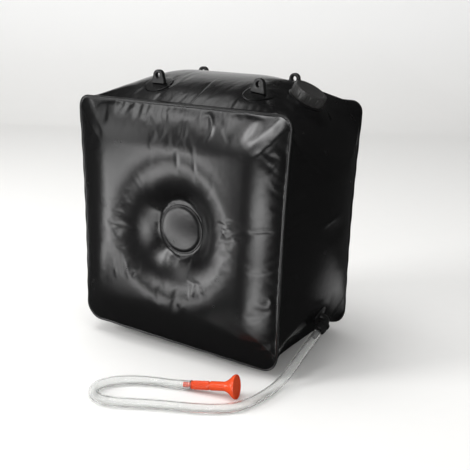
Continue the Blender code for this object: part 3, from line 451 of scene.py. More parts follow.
def film_finish(look):
    """Black film: soft sheen, fine grain and faint rubbed patches"""
    paint = Paint("bag_film")
    at = paint.place()
    mottle = paint.noise(at, 16.0, 4.0, 0.6)
    rubbed = paint.step(paint.noise(at, 55.0, 3.0), 0.58, 0.80)
    grain = paint.noise(at, 1500.0, 1.0)
    ripple = paint.noise(at, 120.0, 2.0)
    colour = paint.mix(rubbed * 0.4, look.colour, [value * 1.6 for value in look.colour])
    lap = paint.step(paint.part(at, "X"), *LAP_EDGE) * paint.step(paint.part(at, "Z"), *LAP_FOOT)
    fin = paint.node("ShaderNodeAttribute", {"attribute_name": "fin"}, out="Fac")
    height = grain * 0.06 + ripple * 0.25 + mottle * 0.5 + lap * 0.5
    return paint.surface(
        Base_Color=colour,
        Roughness=0.19 + mottle * 0.08 + rubbed * 0.06 + fin * 0.35,
        Normal=paint.bump(height, 0.00040),
    )


def moulding_finish(name, colour):
    """Moulded plastic: fine spark grain, and rubbed patches that are a little lighter"""
    paint = Paint(name)
    at = paint.place()
    grain = paint.noise(at, 2200.0, 2.0)
    cloud = paint.noise(at, 90.0, 3.0)
    worn = paint.step(cloud, 0.5, 0.8)
    lighter = [min(1.0, value * 1.5 + 0.004) for value in colour]
    return paint.surface(
        Base_Color=paint.mix(worn * 0.6, colour, lighter),
        Roughness=0.30 + cloud * 0.12,
        Normal=paint.bump(grain * 0.6 + cloud * 0.4, 0.00012),
    )


def red_finish(name, look):
    """Glossy red plastic with a little of the light that passes into it"""
    paint = Paint(name)
    at = paint.place()
    cloud = paint.noise(at, 70.0, 3.0)
    grain = paint.noise(at, 1300.0, 1.0)
    deep = [value * 0.80 for value in look.red]
    return paint.surface(
        Base_Color=paint.mix(cloud, look.red, deep),
        Roughness=0.13 + cloud * 0.08,
        Normal=paint.bump(grain, 0.00006),
        Subsurface_Weight=0.12,
        Subsurface_Radius=(0.004, 0.001, 0.0006),
    )


def hose_finish(look):
    """Clear hose with a slightly cloudy wall"""
    paint = Paint("clear_hose")
    at = paint.place()
    cloud = paint.noise(at, 120.0, 3.0)
    return paint.surface(
        Base_Color=paint.mix(cloud, look.clear, [value * 0.95 for value in look.clear]),
        Roughness=0.02 + cloud * 0.03,
        Normal=paint.bump(cloud, 0.00001),
        Transmission_Weight=0.94,
        IOR=1.20,
    )


def rubber_finish():
    """Matt black rubber with a bloom"""
    paint = Paint("black_rubber")
    at = paint.place()
    bloom = paint.noise(at, 300.0, 4.0)
    return paint.surface(
        Base_Color=paint.mix(bloom, (0.008, 0.008, 0.008), (0.018, 0.018, 0.018)),
        Roughness=0.62 + bloom * 0.2,
        Normal=paint.bump(bloom, 0.0001),
    )


def webbing_finish():
    """Woven strap: ribs across it, crossed by a finer warp"""
    paint = Paint("webbing")
    at = paint.place()
    threads = []
    for way, scale in (("Z", 260.0), ("Y", 420.0)):
        sockets = {"Vector": at, "Scale": scale, "Distortion": 0.4}
        threads.append(paint.node("ShaderNodeTexWave", {"bands_direction": way}, sockets, out="Fac"))
    weft, warp = threads
    return paint.surface(
        Base_Color=paint.mix(weft, (0.010, 0.010, 0.011), (0.026, 0.026, 0.028)),
        Roughness=0.85 - warp * 0.15,
        Normal=paint.bump(weft * 0.7 + warp * 0.5, 0.0003),
    )


FINISHES = {}


def finish_for(slot, scene):
    """Material of a slot, made when it is first asked for"""
    if slot not in FINISHES:
        makers = {
            "bag_film": lambda: film_finish(scene.shower_film),
            "black_moulding": lambda: moulding_finish("black_moulding", scene.shower_fittings.colour),
            "cap_plastic": lambda: moulding_finish("cap_plastic", scene.shower_fittings.cap_colour),
            "black_rubber": rubber_finish,
            "webbing": webbing_finish,
            "red_plastic": lambda: red_finish("red_plastic", scene.shower_hose),
            "clear_hose": lambda: hose_finish(scene.shower_hose),
        }
        FINISHES[slot] = makers[slot]()
    return FINISHES[slot]


# Mesh helpers

def shade(mesh):
    """Shades a mesh smooth, but for its sharp edges"""
    mesh.shade_smooth()
    mesh.set_sharp_from_angle(angle=SHADE_ANGLE)


def mesh_of(maker, name):
    """Mesh of a bmesh, which is freed"""
    mesh = bpy.data.meshes.new(name)
    maker.to_mesh(mesh)
    maker.free()
    return mesh


def add_object(name, data):
    """New object in the scene"""
    made = bpy.data.objects.new(name, data)
    bpy.context.scene.collection.objects.link(made)
    return made


def object_of(maker, name, slot):
    """Mesh object of a bmesh, with its slot's material"""
    mesh = mesh_of(maker, name)
    shade(mesh)
    mesh.materials.append(finish_for(slot, bpy.context.scene))
    return add_object(name, mesh)


def join_frame(piece, body, nodes):
    """A finished piece rides on its body and stands for its CAD nodes"""
    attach(piece, body)
    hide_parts(*nodes)


def put_in(maker, name, slot, body, node, matrix=None):
    """Moves a shape to its place, and makes it the piece that stands for a CAD node"""
    if matrix is not None:
        bmesh.ops.transform(maker, matrix=matrix, verts=maker.verts)
    join_frame(object_of(maker, name, slot), body, [node])


def new_points(grown):
    """Vertices that an extrusion has made"""
    return [item for item in grown["geom"] if isinstance(item, bmesh.types.BMVert)]


def settle_order(maker):
    """Puts points, edges and faces in the order of their places, which is the same each run"""
    for items, place in (
        (maker.verts, lambda vert: vert.co),
        (maker.edges, lambda edge: edge.verts[0].co + edge.verts[1].co),
        (maker.faces, lambda face: face.calc_center_median()),
    ):
        ranked = sorted(items, key=lambda item: tuple(place(item)))
        ranks = {item: rank for rank, item in enumerate(ranked)}
        items.sort(key=ranks.get)
        items.index_update()


def aimed_at(place, away):
    """Matrix at a place with Z pointing away"""
    return Matrix.Translation(place) @ away.to_track_quat("Z", "Y").to_matrix().to_4x4()


def stand(place, axis, side=(0.0, 1.0, 0.0)):
    """Matrix that stands Z along an axis at a place, with X as near to side as can be"""
    up = Vector(axis).normalized()
    across = Vector(side) - up * up.dot(Vector(side))
    across.normalize()
    turn = Matrix((across, up.cross(across), up)).transposed().to_4x4()
    return Matrix.Translation(place) @ turn


def lathe(profile, steps, ring=False):
    """Shape turned round Z from (radius, height) pairs; ring joins the last pair to the first"""
    maker = bmesh.new()
    line = [maker.verts.new((radius, 0.0, height)) for radius, height in profile]
    edges = [maker.edges.new(pair) for pair in zip(line, line[1:])]
    if ring:
        edges.append(maker.edges.new((line[-1], line[0])))
    bmesh.ops.spin(
        maker, geom=line + edges, cent=(0.0, 0.0, 0.0), axis=(0.0, 0.0, 1.0), dvec=(0.0, 0.0, 0.0),
        angle=FULL_TURN, steps=steps, use_merge=True,
    )
    bmesh.ops.remove_doubles(maker, verts=maker.verts, dist=MERGE)
    bmesh.ops.recalc_face_normals(maker, faces=maker.faces)
    return maker


def round_off(maker, width, segments=2, steep=RIM_ANGLE):
    """Bevels the sharp edges"""
    edges = [edge for edge in maker.edges if edge.is_manifold and edge.calc_face_angle() > steep]
    bmesh.ops.bevel(
        maker, geom=edges, offset=width, offset_type="OFFSET", affect="EDGES", segments=segments,
        profile=0.5, material=-1, clamp_overlap=True,
    )


def raise_blocks(maker, count, width, radius, low, high, proud):
    """Raises so many blocks from the side of a turned shape"""
    for i in range(count):
        middle = FULL_TURN * (i + 0.5) / count
        chosen = []
        for face in maker.faces:
            centre = face.calc_center_median()
            reach = math.hypot(centre.x, centre.y)
            if reach < 0.97 * radius or not low < centre.z < high:
                continue
            apart = math.remainder(math.atan2(centre.y, centre.x) - middle, FULL_TURN)
            if abs(apart) * radius < 0.5 * width:
                chosen.append(face)
        bmesh.ops.inset_region(
            maker, faces=chosen, thickness=0.5 * proud, depth=proud, use_even_offset=True, use_boundary=True
        )


def helix(maker, radius, ridge, start, pitch=SMALL_PITCH, turns=SMALL_TURNS, inward=False):
    """Adds a screw thread's ridge to a turned shape"""
    way = -1.0 if inward else 1.0
    foot = radius - way * 0.25 * ridge
    corners = [
        (foot, 0.0, start - ridge), (radius + way * ridge, 0.0, start - 0.3 * ridge),
        (radius + way * ridge, 0.0, start + 0.3 * ridge), (foot, 0.0, start + ridge),
    ]
    line = [maker.verts.new(corner) for corner in corners]
    edges = [maker.edges.new((line[i], line[(i + 1) % len(line)])) for i in range(len(line))]
    steps = round(turns * THREAD_STEPS)
    bmesh.ops.spin(
        maker, geom=line + edges, cent=(0.0, 0.0, 0.0), axis=(0.0, 0.0, 1.0),
        dvec=(0.0, 0.0, pitch * turns / steps), angle=FULL_TURN * turns, steps=steps,
    )
    edge_faces = list({face for vert in line for face in vert.link_faces})
    grown = set(edge_faces)
    while edge_faces:
        face = edge_faces.pop()
        for edge in face.edges:
            for other in edge.link_faces:
                if other not in grown:
                    grown.add(other)
                    edge_faces.append(other)
    ends = [edge for face in grown for edge in face.edges if edge.is_boundary]
    filled = bmesh.ops.holes_fill(maker, edges=list(set(ends)), sides=4)
    bmesh.ops.recalc_face_normals(maker, faces=list(grown) + filled["faces"])


# Bag outline

def swell_at(depth):
    """How far a section is blown out: 0 at the seams and 1 at mid-depth"""
    return max(0.0, 1.0 - (2.0 * depth / DEPTH) ** 2)


def section_size(depth, low=False):
    """Half width, top, bottom and corner radius of the bag at a depth"""
    swell = swell_at(depth)
    half_width = 0.5 * FACE_WIDTH + SIDE_SWELL * swell
    top = SEAM_LIFT + FACE_HEIGHT + TOP_SWELL * swell
    bottom = SEAM_LIFT - FLOOR_SWELL * swell
    seam_corner = LOW_SEAM_CORNER if low else TOP_SEAM_CORNER
    mid_corner = LOW_MID_CORNER if low else TOP_MID_CORNER
    corner = seam_corner + (mid_corner - seam_corner) * swell ** CORNER_POWER
    return half_width, top, bottom, corner


def octant_point(straight, corner, share):
    """Point on one eighth of the outline: run along the side, and how far it has turned in"""
    travel = share * (straight + corner * 0.25 * math.pi)
    if travel <= straight:
        return travel, 0.0
    angle = (travel - straight) / corner
    return straight + corner * math.sin(angle), corner * (1.0 - math.cos(angle))


def settled(x, z, depth):
    """Outline point as the bag sits: edges drawn in, narrower downwards, left foot lifted"""
    half_width, top, bottom = section_size(depth)[:3]
    half_height = 0.5 * (top - bottom)
    slack = 1.0 - swell_at(depth)
    down = 0.5 - 0.5 * z / half_height
    drawn = EDGE_DRAW * slack * (1.0 - (z / half_height) ** 2) / half_width
    lift = LEFT_LIFT * slack * down * down * x / half_width
    across = x * (1.0 - drawn) * (1.0 - TAPER_SHARE * down)
    return across, max(0.5 * (top + bottom) + z - lift, 0.0)


def outline_point(x, z, depth):
    """Point of the outline at a depth, for a place on the rim of the square from -1 to 1"""
    half_width, top, bottom, corner = section_size(depth, low=z < 0.0)
    half_height = 0.5 * (top - bottom)
    if abs(x) >= abs(z):
        run, inset = octant_point(half_height - corner, corner, abs(z))
        across, up = half_width - inset, run
    else:
        run, inset = octant_point(half_width - corner, corner, abs(x))
        across, up = run, half_height - inset
    return settled(math.copysign(across, x), math.copysign(up, z), depth)


def relief(x, up, reach):
    """How far a face stands out: a pillow that rises from the seams, with a round crater.

    Up is measured from the tie, and reach is how far the seam lies that way.
    """
    inwards = min(1.0, (1.0 - math.hypot(x, up) / reach) / RIDGE_SHARE)
    pillow = FACE_RIDGE * inwards * (2.0 - inwards)
    flat = TIE_DISC_RADIUS + TIE_FLAT_MARGIN
    lift = CRATER_LIFT * min(1.0, math.hypot(x, up) / CRATER_RADIUS)
    share = (math.hypot(x, CRATER_SQUEEZE * (up - lift)) - flat) / (CRATER_RADIUS - flat)
    drop = 1.0 - min(1.0, max(0.0, share))
    return pillow - (FACE_RIDGE + TIE_RECESS) * drop ** CRATER_POWER


def film_point(place):
    """Point of the bag for a place on the cube from -1 to 1"""
    x, y, z = place
    if abs(y) < 1.0 - MERGE:
        depth = 0.5 * DEPTH * y
        across, height = outline_point(x, z, depth)
        return Vector((across, depth, height))
    reach = max(abs(x), abs(z))
    side = math.copysign(1.0, y)
    if reach < MERGE:
        return Vector((0.0, side * (0.5 * DEPTH - TIE_RECESS), TIE_HEIGHT))
    across, height = outline_point(x / reach, z / reach, 0.5 * DEPTH)
    away = Vector((across, 0.0, height - TIE_HEIGHT))
    flat = away.normalized() * (TIE_DISC_RADIUS + TIE_FLAT_MARGIN)
    if reach < FLAT_SHARE:
        at = flat * reach / FLAT_SHARE
        return Vector((at.x, side * (0.5 * DEPTH - TIE_RECESS), TIE_HEIGHT + at.z))
    share = (reach - FLAT_SHARE) / (1.0 - FLAT_SHARE)
    at = flat.lerp(away, share)
    return Vector((at.x, side * (0.5 * DEPTH + relief(at.x, at.z, away.length)), TIE_HEIGHT + at.z))


def pull_to(co, place, axis, radius, drop):
    """Film point drawn up to the flat underside of a round flange"""
    away = co - place
    height = away.dot(axis)
    across = away - axis * height
    reach = across.length
    outer = radius * PULL_RADIUS_SHARE
    if reach >= outer or abs(height) > radius:
        return co
    share = max(0.0, (reach - radius) / (outer - radius))
    hold = 1.0 - share * share * (3.0 - 2.0 * share)
    return co - axis * (height + drop) * hold


def crease(at, path, height, width):
    """Height of a crease that follows a path on the film and fades at its ends; places are pairs"""
    nearest, along = 1.0, 0.0
    steps = len(path) - 1
    for i in range(steps):
        start = Vector(path[i])
        run = Vector(path[i + 1]) - start
        share = min(1.0, max(0.0, (at - start).dot(run) / run.length_squared))
        away = (at - start - run * share).length
        if away < nearest:
            nearest, along = away, (i + share) / steps
    return height * math.sin(math.pi * (0.1 + 0.8 * along)) * math.exp(-(nearest / width) ** 2)


# Creases of the front in (x, z), of the right side in (y, z) and of the top in (x, y)
FRONT_CREASES = (
    (((0.0474, 0.3661), (0.0547, 0.3688), (0.0613, 0.3634), (0.0647, 0.3543), (0.0641, 0.3447),
      (0.0585, 0.3339)), 0.0009, 0.0036),
    (((0.1667, 0.3189), (0.1548, 0.3034)), -0.0006, 0.0030),
    (((0.1555, 0.1232), (0.1617, 0.1253), (0.1650, 0.1181), (0.1599, 0.1104)), 0.0007, 0.0028),
    (((0.0254, 0.1269), (0.0360, 0.1238), (0.0544, 0.1238)), 0.0006, 0.0026),
    (((0.0308, 0.1204), (0.0345, 0.1043), (0.0380, 0.1050), (0.0396, 0.1222)), 0.0006, 0.0026),
    (((0.0466, 0.1222), (0.0572, 0.1092)), 0.0005, 0.0026),
    (((-0.1038, 0.1327), (-0.1033, 0.1103)), 0.0007, 0.0030),
    (((-0.0899, 0.1417), (-0.0894, 0.1147)), -0.0007, 0.0030),
    (((-0.0812, 0.1370), (-0.0787, 0.1120)), 0.0007, 0.0030),
    (((-0.0669, 0.1239), (-0.0709, 0.1152)), -0.0005, 0.0030),
    (((0.0854, 0.2237), (0.1001, 0.2226)), 0.0005, 0.0024),
    (((0.0847, 0.2172), (0.1019, 0.2165)), 0.0005, 0.0024),
    (((0.0857, 0.2109), (0.0940, 0.2066)), 0.0005, 0.0024),
    (((0.0084, 0.3152), (0.0094, 0.2840)), -0.0005, 0.0028),
    (((0.0388, 0.3228), (0.0403, 0.2711)), -0.0005, 0.0028),
    (((0.1354, 0.2187), (0.1693, 0.2224)), -0.0005, 0.0026),
)
SIDE_CREASES = (
    (((-0.0370, 0.2164), (-0.0079, 0.2224), (0.0226, 0.2251)), 0.0012, 0.0045),
    (((-0.0190, 0.2050), (0.0120, 0.2030), (0.0400, 0.2000)), -0.0030, 0.0120),
    (((0.0180, 0.0450), (0.0260, 0.0560), (0.0560, 0.0710)), 0.0011, 0.0050),
    (((0.0300, 0.3560), (0.0480, 0.3740), (0.0640, 0.3780)), 0.0010, 0.0060),
)
TOP_CREASES = (
    (((0.0120, -0.0600), (0.0200, -0.0560), (0.0290, -0.0700)), 0.0004, 0.0028),
)


# Operators

class ShowerStage(bpy.types.Operator):
    """Floor, backdrop, lamps and camera"""

    bl_idname = "shower_bag.stage"
    bl_label = "Set the stage"

    def execute(self, context):
        look = context.scene.shower_stage
        self.add_camera(context)
        self.add_sweep(look)
        self.add_lamps(look)
        context.scene.view_settings.view_transform = "Standard"
        return {"FINISHED"}

    def add_camera(self, context):
        """Camera at the photograph's view"""
        data = bpy.data.cameras.new("view")
        data.lens = LENS
        data.sensor_width = SENSOR
        camera = add_object("view", data)
        turn = Matrix((EYE_RIGHT, EYE_UP, EYE_BACK)).transposed().to_4x4()
        camera.matrix_world = Matrix.Translation(EYE) @ turn
        context.scene.camera = camera

    def add_sweep(self, look):
        """Pale floor that turns up into a backdrop"""
        maker = bmesh.new()
        profile = [(SWEEP_NEAR, 0.0), (SWEEP_FAR, 0.0)]
        for i in range(1, 9):
            angle = 0.5 * math.pi * i / 8
            profile.append((SWEEP_FAR + SWEEP_BEND * math.sin(angle), SWEEP_BEND * (1.0 - math.cos(angle))))
        profile.append((SWEEP_FAR + SWEEP_BEND, SWEEP_TOP))
        line = [maker.verts.new((-SWEEP_HALF_WIDTH, along, up - SWEEP_DROP)) for along, up in profile]
        edges = [maker.edges.new(pair) for pair in zip(line, line[1:])]
        grown = bmesh.ops.extrude_edge_only(maker, edges=edges)
        bmesh.ops.translate(maker, verts=new_points(grown), vec=(2.0 * SWEEP_HALF_WIDTH, 0.0, 0.0))
        bmesh.ops.transform(maker, matrix=Matrix.Rotation(SWEEP_TURN, 4, "Z"), verts=maker.verts)
        mesh = mesh_of(maker, "floor")
        mesh.shade_smooth()
        paint = Paint("floor")
        at = paint.place()
        speck = paint.noise(at, 40.0, 3.0)
        ground = paint.mix(speck, look.floor, [value * 0.98 for value in look.floor])
        high = paint.step(paint.part(at, "Z"), 0.0, BACKDROP_FROM)
        paint.surface(Base_Color=paint.mix(high, ground, look.wall), Roughness=0.7)
        mesh.materials.append(paint.material)
        floor = add_object("floor", mesh)

    def add_lamps(self, look):
        """Soft boxes and a dim even world, with the glowing cards and the dark tent that only the glossy
        film sees
        """
        for name, place, width, height, power in LAMPS:
            data = bpy.data.lights.new(name, "AREA")
            data.shape = "RECTANGLE"
            data.size = width
            data.size_y = height
            data.energy = power * look.level
            lamp = add_object(name, data)
            lamp.matrix_world = aimed_at(place, Vector(place) - Vector(LIT_PLACE))
            lamp.visible_glossy = False
        for card in GLOSS_CARDS:
            self.add_card(*card)
        self.add_tent()
        world = bpy.data.worlds.new("soft_room")
        world.use_nodes = True
        backdrop = world.node_tree.nodes["Background"]
        backdrop.inputs["Color"].default_value = (1.0, 1.0, 1.0, 1.0)
        backdrop.inputs["Strength"].default_value = WORLD_LEVEL * look.level
        bpy.context.scene.world = world

    def add_card(self, name, place, target, width, height, level):
        """Glowing card at a level, seen only in reflections, which makes a highlight in the gloss"""
        maker = bmesh.new()
        maker.loops.layers.uv.new("UVMap")
        bmesh.ops.create_grid(maker, x_segments=1, y_segments=1, size=0.5, calc_uvs=True)
        turn = aimed_at(place, Vector(target) - Vector(place))
        size = Matrix.Diagonal((width, height, 1.0, 1.0))
        bmesh.ops.transform(maker, matrix=turn @ size, verts=maker.verts)
        self.publish(maker, name, level)

    def add_tent(self):
        """Dark tent round the whole set, seen only in reflections, which keeps the room out of the gloss
        and makes the reflections dark
        """
        maker = bmesh.new()
        size = Matrix.Diagonal((TENT_SIZE, TENT_SIZE, TENT_HEIGHT, 1.0))
        place = Matrix.Translation((0.0, 0.0, 0.5 * TENT_HEIGHT - TENT_DROP))
        bmesh.ops.create_cube(maker, size=1.0, matrix=place @ size)
        self.publish(maker, "tent", 0.0)

    def publish(self, maker, name, level):
        """Adds a thing that only reflections see: a glowing card, brightest at its middle, where its level
        is above 0, else a dark sheet
        """
        mesh = mesh_of(maker, name)
        paint = Paint(name)
        at = paint.node("ShaderNodeTexCoord", out="UV")
        across, along = paint.part(at, "X"), paint.part(at, "Y")
        # A card glows brightest at its middle and fades to its edges; the film's highlights are its
        # reflection
        card_glow_falloff = across * (1.0 - across) * along * (1.0 - along) * 16.0
        paint.surface(
            Base_Color=(TENT_GREY, TENT_GREY, TENT_GREY, 1.0), Roughness=1.0, Specular_IOR_Level=0.0,
            Emission_Color=paint.mix(card_glow_falloff, (0.0, 0.0, 0.0), (1.0, 1.0, 1.0)), Emission_Strength=level,
        )
        mesh.materials.append(paint.material)
        card = add_object(name, mesh)
        card.visible_camera = False
        card.visible_diffuse = False
        card.visible_transmission = False
        card.visible_shadow = False


def hose_route():
    """Points listed along the hose, as in the part's source"""
    start = SPOUT_CORNER + NUT_AXIS * HOSE_START
    lie = HOSE_LIE
    return [
        start, start + NUT_AXIS * HOSE_END_RUN, start + NUT_AXIS * 2.0 * HOSE_END_RUN,
        (0.1955, -0.0745, 0.0370), (0.1930, -0.0930, 0.0255), (0.1905, -0.1110, 0.0155),
        (0.1885, -0.1290, 0.0092), (0.1875, -0.1480, lie), (0.1865, -0.1700, lie),
        (0.1830, -0.1930, lie), (0.1765, -0.2120, lie), (0.1660, -0.2275, lie),
        (0.1500, -0.2405, lie), (0.1305, -0.2520, lie), (0.1100, -0.2615, lie),
        (0.0885, -0.2710, lie), (0.0690, -0.2805, lie), (0.0500, -0.2905, lie),
        (0.0330, -0.2990, lie), (0.0150, -0.3030, lie), (-0.0020, -0.2980, lie),
        (-0.0130, -0.2850, lie), (-0.0150, -0.2690, lie), (-0.0080, -0.2530, lie),
        (0.0060, -0.2390, lie), (0.0240, -0.2280, lie), (0.0430, -0.2200, lie),
        (0.0610, -0.2140, lie), HEAD_START - HEAD_AIM * 2.0 * HOSE_END_RUN,
        HEAD_START - HEAD_AIM * HOSE_END_RUN, HEAD_START,
    ]


def smooth_line(points, count):
    """Evenly spaced points on the smooth curve through a list of points"""
    knots = [Vector(point) for point in points]
    knots = [2.0 * knots[0] - knots[1]] + knots + [2.0 * knots[-1] - knots[-2]]
    fine = []
    for a, b, c, d in zip(knots, knots[1:], knots[2:], knots[3:]):
        for i in range(ROUTE_STEPS):
            t = i / ROUTE_STEPS
            fine.append(0.5 * (2.0 * b + (c - a) * t + (2.0 * a - 5.0 * b + 4.0 * c - d) * t * t
                               + (3.0 * b - 3.0 * c + d - a) * t * t * t))
    fine.append(knots[-2])
    travelled = [0.0]
    for one, two in zip(fine, fine[1:]):
        travelled.append(travelled[-1] + (two - one).length)
    picked = []
    j = 0
    for i in range(count):
        goal = travelled[-1] * i / (count - 1)
        while j < len(fine) - 2 and travelled[j + 1] < goal:
            j += 1
        span = travelled[j + 1] - travelled[j]
        picked.append(fine[j].lerp(fine[j + 1], (goal - travelled[j]) / span))
    return picked


class ShowerHose(bpy.types.Operator):
    """Clear hose from the outlet to the shower head"""

    bl_idname = "shower_bag.hose"
    bl_label = "Lay the hose"

    def execute(self, context):
        data = bpy.data.curves.new("clear_hose", "CURVE")
        data.dimensions = "3D"
        data.bevel_depth = HOSE_RADIUS
        data.bevel_resolution = 16
        data.use_fill_caps = False
        points = smooth_line(hose_route(), HOSE_STEPS)
        line = data.splines.new("POLY")
        line.points.add(len(points) - 1)
        for target, point in zip(line.points, points):
            target.co = (*point, 1.0)
        line.use_smooth = True
        data.materials.append(finish_for("clear_hose", context.scene))
        hose = add_object("clear_hose", data)
        wall = hose.modifiers.new("wall", "SOLIDIFY")
        wall.thickness = HOSE_WALL
        wall.offset = -1.0
        join_frame(hose, "bag", ["hose"])
        return {"FINISHED"}


def film_shell():
    """Closed grid over the bag: a cube cut into cells and blown out to the bag's outline"""
    maker = bmesh.new()
    bmesh.ops.create_cube(maker, size=2.0)
    for axis, cells in enumerate((FILM_CELLS, FILM_CELLS_DEEP, FILM_CELLS)):
        normal = Vector((0.0, 0.0, 0.0))
        normal[axis] = 1.0
        for i in range(1, cells):
            everything = maker.verts[:] + maker.edges[:] + maker.faces[:]
            bmesh.ops.bisect_plane(
                maker, geom=everything, dist=MERGE, plane_co=normal * (2.0 * i / cells - 1.0),
                plane_no=normal,
            )
    for face in maker.faces:
        way = face.calc_center_median().y
        face.material_index = 0 if abs(way) < 1.0 - MERGE else (1 if way < 0.0 else 2)
    for vert in maker.verts:
        co = film_point(vert.co)
        co = pull_to(co, CAP_PLACE, CAP_AXIS, FLANGE_RADIUS, GAP)
        vert.co = pull_to(co, OUTLET_PLACE, OUTLET_WAY, SPOUT_FLANGE_RADIUS, GAP)
    bmesh.ops.recalc_face_normals(maker, faces=maker.faces)
    return maker


def film_part(shell, index):
    """One of the three films, cut from the shell along the seams"""
    maker = shell.copy()
    others = [face for face in maker.faces if face.material_index != index]
    bmesh.ops.delete(maker, geom=others, context="FACES")
    return maker


def rim_ways(rim):
    """Way out of the seam's outline at each point of a film's edge, in the plane of the face"""
    ways = {}
    for vert in {vert for edge in rim for vert in edge.verts}:
        ends = [edge.other_vert(vert).co for edge in vert.link_edges if edge in rim]
        along = ends[1] - ends[0]
        out = Vector((along.z, 0.0, -along.x)).normalized()
        if out.dot(vert.co - Vector((0.0, vert.co.y, MIDDLE))) < 0.0:
            out = -out
        ways[vert] = out
    return ways


def add_fin(maker, way, wall, width):
    """Grows the weld fin round an edge of a film; way is 1 for the band and -1 for a face"""
    touch = 0.5 * (wall + wall + SEAM_GAP) * SLANT
    outs = maker.verts.layers.float_vector.new("out")
    fins = maker.verts.layers.float.new("fin")
    rim = [edge for edge in maker.edges if edge.is_boundary]
    ways = rim_ways(set(rim))
    for vert, out in ways.items():
        side = math.copysign(1.0, vert.co.y)
        vert[outs] = out
        vert.co += out * touch * way - Vector((0.0, side * touch * way, 0.0))
    grown = bmesh.ops.extrude_edge_only(maker, edges=rim)
    for vert in new_points(grown):
        side = math.copysign(1.0, vert.co.y)
        wave = 1.0 + FIN_WAVE * math.sin(vert.co.x * FIN_WAVES[0] + vert.co.z * FIN_WAVES[1])
        vert.co += (vert[outs] + Vector((0.0, side, 0.0))) * width * SLANT * wave
        vert[fins] = 1.0
    maker.verts.layers.float_vector.remove(outs)


def press_creases(maker, creases, first, second, facing, way):
    """Presses creases into a film, placed by two of its axes, where it faces the third one's way"""
    for path, height, width in creases:
        reach = CREASE_REACH * width
        low = [min(point[axis] for point in path) - reach for axis in (0, 1)]
        high = [max(point[axis] for point in path) + reach for axis in (0, 1)]
        for vert in maker.verts:
            at = Vector((vert.co[first], vert.co[second]))
            inside = low[0] < at.x < high[0] and low[1] < at.y < high[1]
            if inside and vert.normal[facing] * way > 0.0:
                vert.co += vert.normal * crease(at, path, height, width)


def held_points(maker):
    """Numbers of the points of a film that its seam, its fittings, the tie disc or the floor hold"""
    rings = [
        (CAP_PLACE, FLANGE_RADIUS), (OUTLET_PLACE, SPOUT_FLANGE_RADIUS),
        (Vector((0.0, TIE_RECESS - 0.5 * DEPTH, TIE_HEIGHT)), TIE_DISC_RADIUS),
        (Vector((0.0, 0.5 * DEPTH - TIE_RECESS, TIE_HEIGHT)), TIE_DISC_RADIUS),
    ]
    rings += [(top_way(*eye)[0], PATCH_RADIUS) for eye in EYES.values()]
    edge = {vert for vert in maker.verts if vert.is_boundary}
    seam = edge | {near.other_vert(vert) for vert in edge for near in vert.link_edges}
    maker.verts.index_update()
    held = []
    for vert in maker.verts:
        covered = any((vert.co - place).length < reach + HOLD_MARGIN for place, reach in rings)
        if vert in seam or covered or vert.co.z < FLOOR_HOLD:
            held.append(vert.index)
    return held


def pucker(rough, held, limit):
    """Lets a film pucker as air fills it, no further than the limit"""
    group = rough.vertex_groups.new(name="held")
    group.add(held, 1.0, "REPLACE")
    air = rough.modifiers.new("air", "CLOTH")
    cloth = air.settings
    cloth.vertex_group_mass = group.name
    for key, value in CLOTH.items():
        setattr(cloth, key, value)
    cloth.effector_weights.gravity = 0.0
    air.collision_settings.use_collision = False
    air.point_cache.frame_end = PUFF_FRAMES
    scene = bpy.context.scene
    for moment in range(1, PUFF_FRAMES + 1):
        scene.frame_set(moment)
    puffed = rough.evaluated_get(bpy.context.evaluated_depsgraph_get())
    moves = [there.co - here.co for there, here in zip(puffed.data.vertices, rough.data.vertices)]
    rough.modifiers.remove(air)
    scene.frame_set(1)
    for vert, move in zip(rough.data.vertices, moves):
        vert.co += move * (limit / (limit + move.length))


def cut_hole(maker, place, axis, radius):
    """Takes the film away inside a fitting"""
    chosen = []
    for face in maker.faces:
        away = face.calc_center_median() - place
        height = away.dot(axis)
        if abs(height) < radius and (away - axis * height).length < radius:
            chosen.append(face)
    bmesh.ops.delete(maker, geom=chosen, context="FACES")


class ShowerFilm(bpy.types.Operator):
    """Front, back and gusset film, welded along their seams"""

    bl_idname = "shower_bag.film"
    bl_label = "Blow up the film"

    def execute(self, context):
        look = context.scene.shower_film
        shell = film_shell()
        names = ("gusset_film", "front_film", "back_film")
        nodes = ("gusset_band", "front_panel", "back_panel")
        for index, (name, node) in enumerate(zip(names, nodes)):
            maker = film_part(shell, index)
            add_fin(maker, 1.0 if index == 0 else -1.0, look.wall, look.fin)
            self.finish_film(maker, name, node, look)
        shell.free()
        return {"FINISHED"}

    def finish_film(self, maker, name, node, look):
        """Subdivides a film, folds its creases, cuts its holes and gives it its wall"""
        for face in maker.faces:
            face.material_index = 0
        settle_order(maker)
        held = held_points(maker)
        rough = object_of(maker, name + "_rough", "bag_film")
        pucker(rough, held, look.pucker)
        step = rough.modifiers.new("fine", "SUBSURF")
        step.levels = 1
        step.render_levels = 1
        bpy.context.view_layer.update()
        reader = bpy.context.evaluated_depsgraph_get()
        mesh = bpy.data.meshes.new_from_object(rough.evaluated_get(reader))
        bpy.data.objects.remove(rough, do_unlink=True)
        maker = bmesh.new()
        maker.from_mesh(mesh)
        bpy.data.meshes.remove(mesh)
        maker.normal_update()
        if name == "front_film":
            press_creases(maker, FRONT_CREASES, 0, 2, 1, -1.0)
        if name == "gusset_film":
            press_creases(maker, SIDE_CREASES, 1, 2, 0, 1.0)
            press_creases(maker, TOP_CREASES, 0, 1, 2, 1.0)
            cut_hole(maker, CAP_PLACE, CAP_AXIS, NECK_RADIUS)
            cut_hole(maker, OUTLET_PLACE, OUTLET_WAY, SPOUT_RADIUS)
        piece = object_of(maker, name, "bag_film")
        wall = piece.modifiers.new("wall", "SOLIDIFY")
        wall.thickness = look.wall
        wall.offset = -1.0
        wall.use_even_offset = True
        join_frame(piece, "bag", [node])


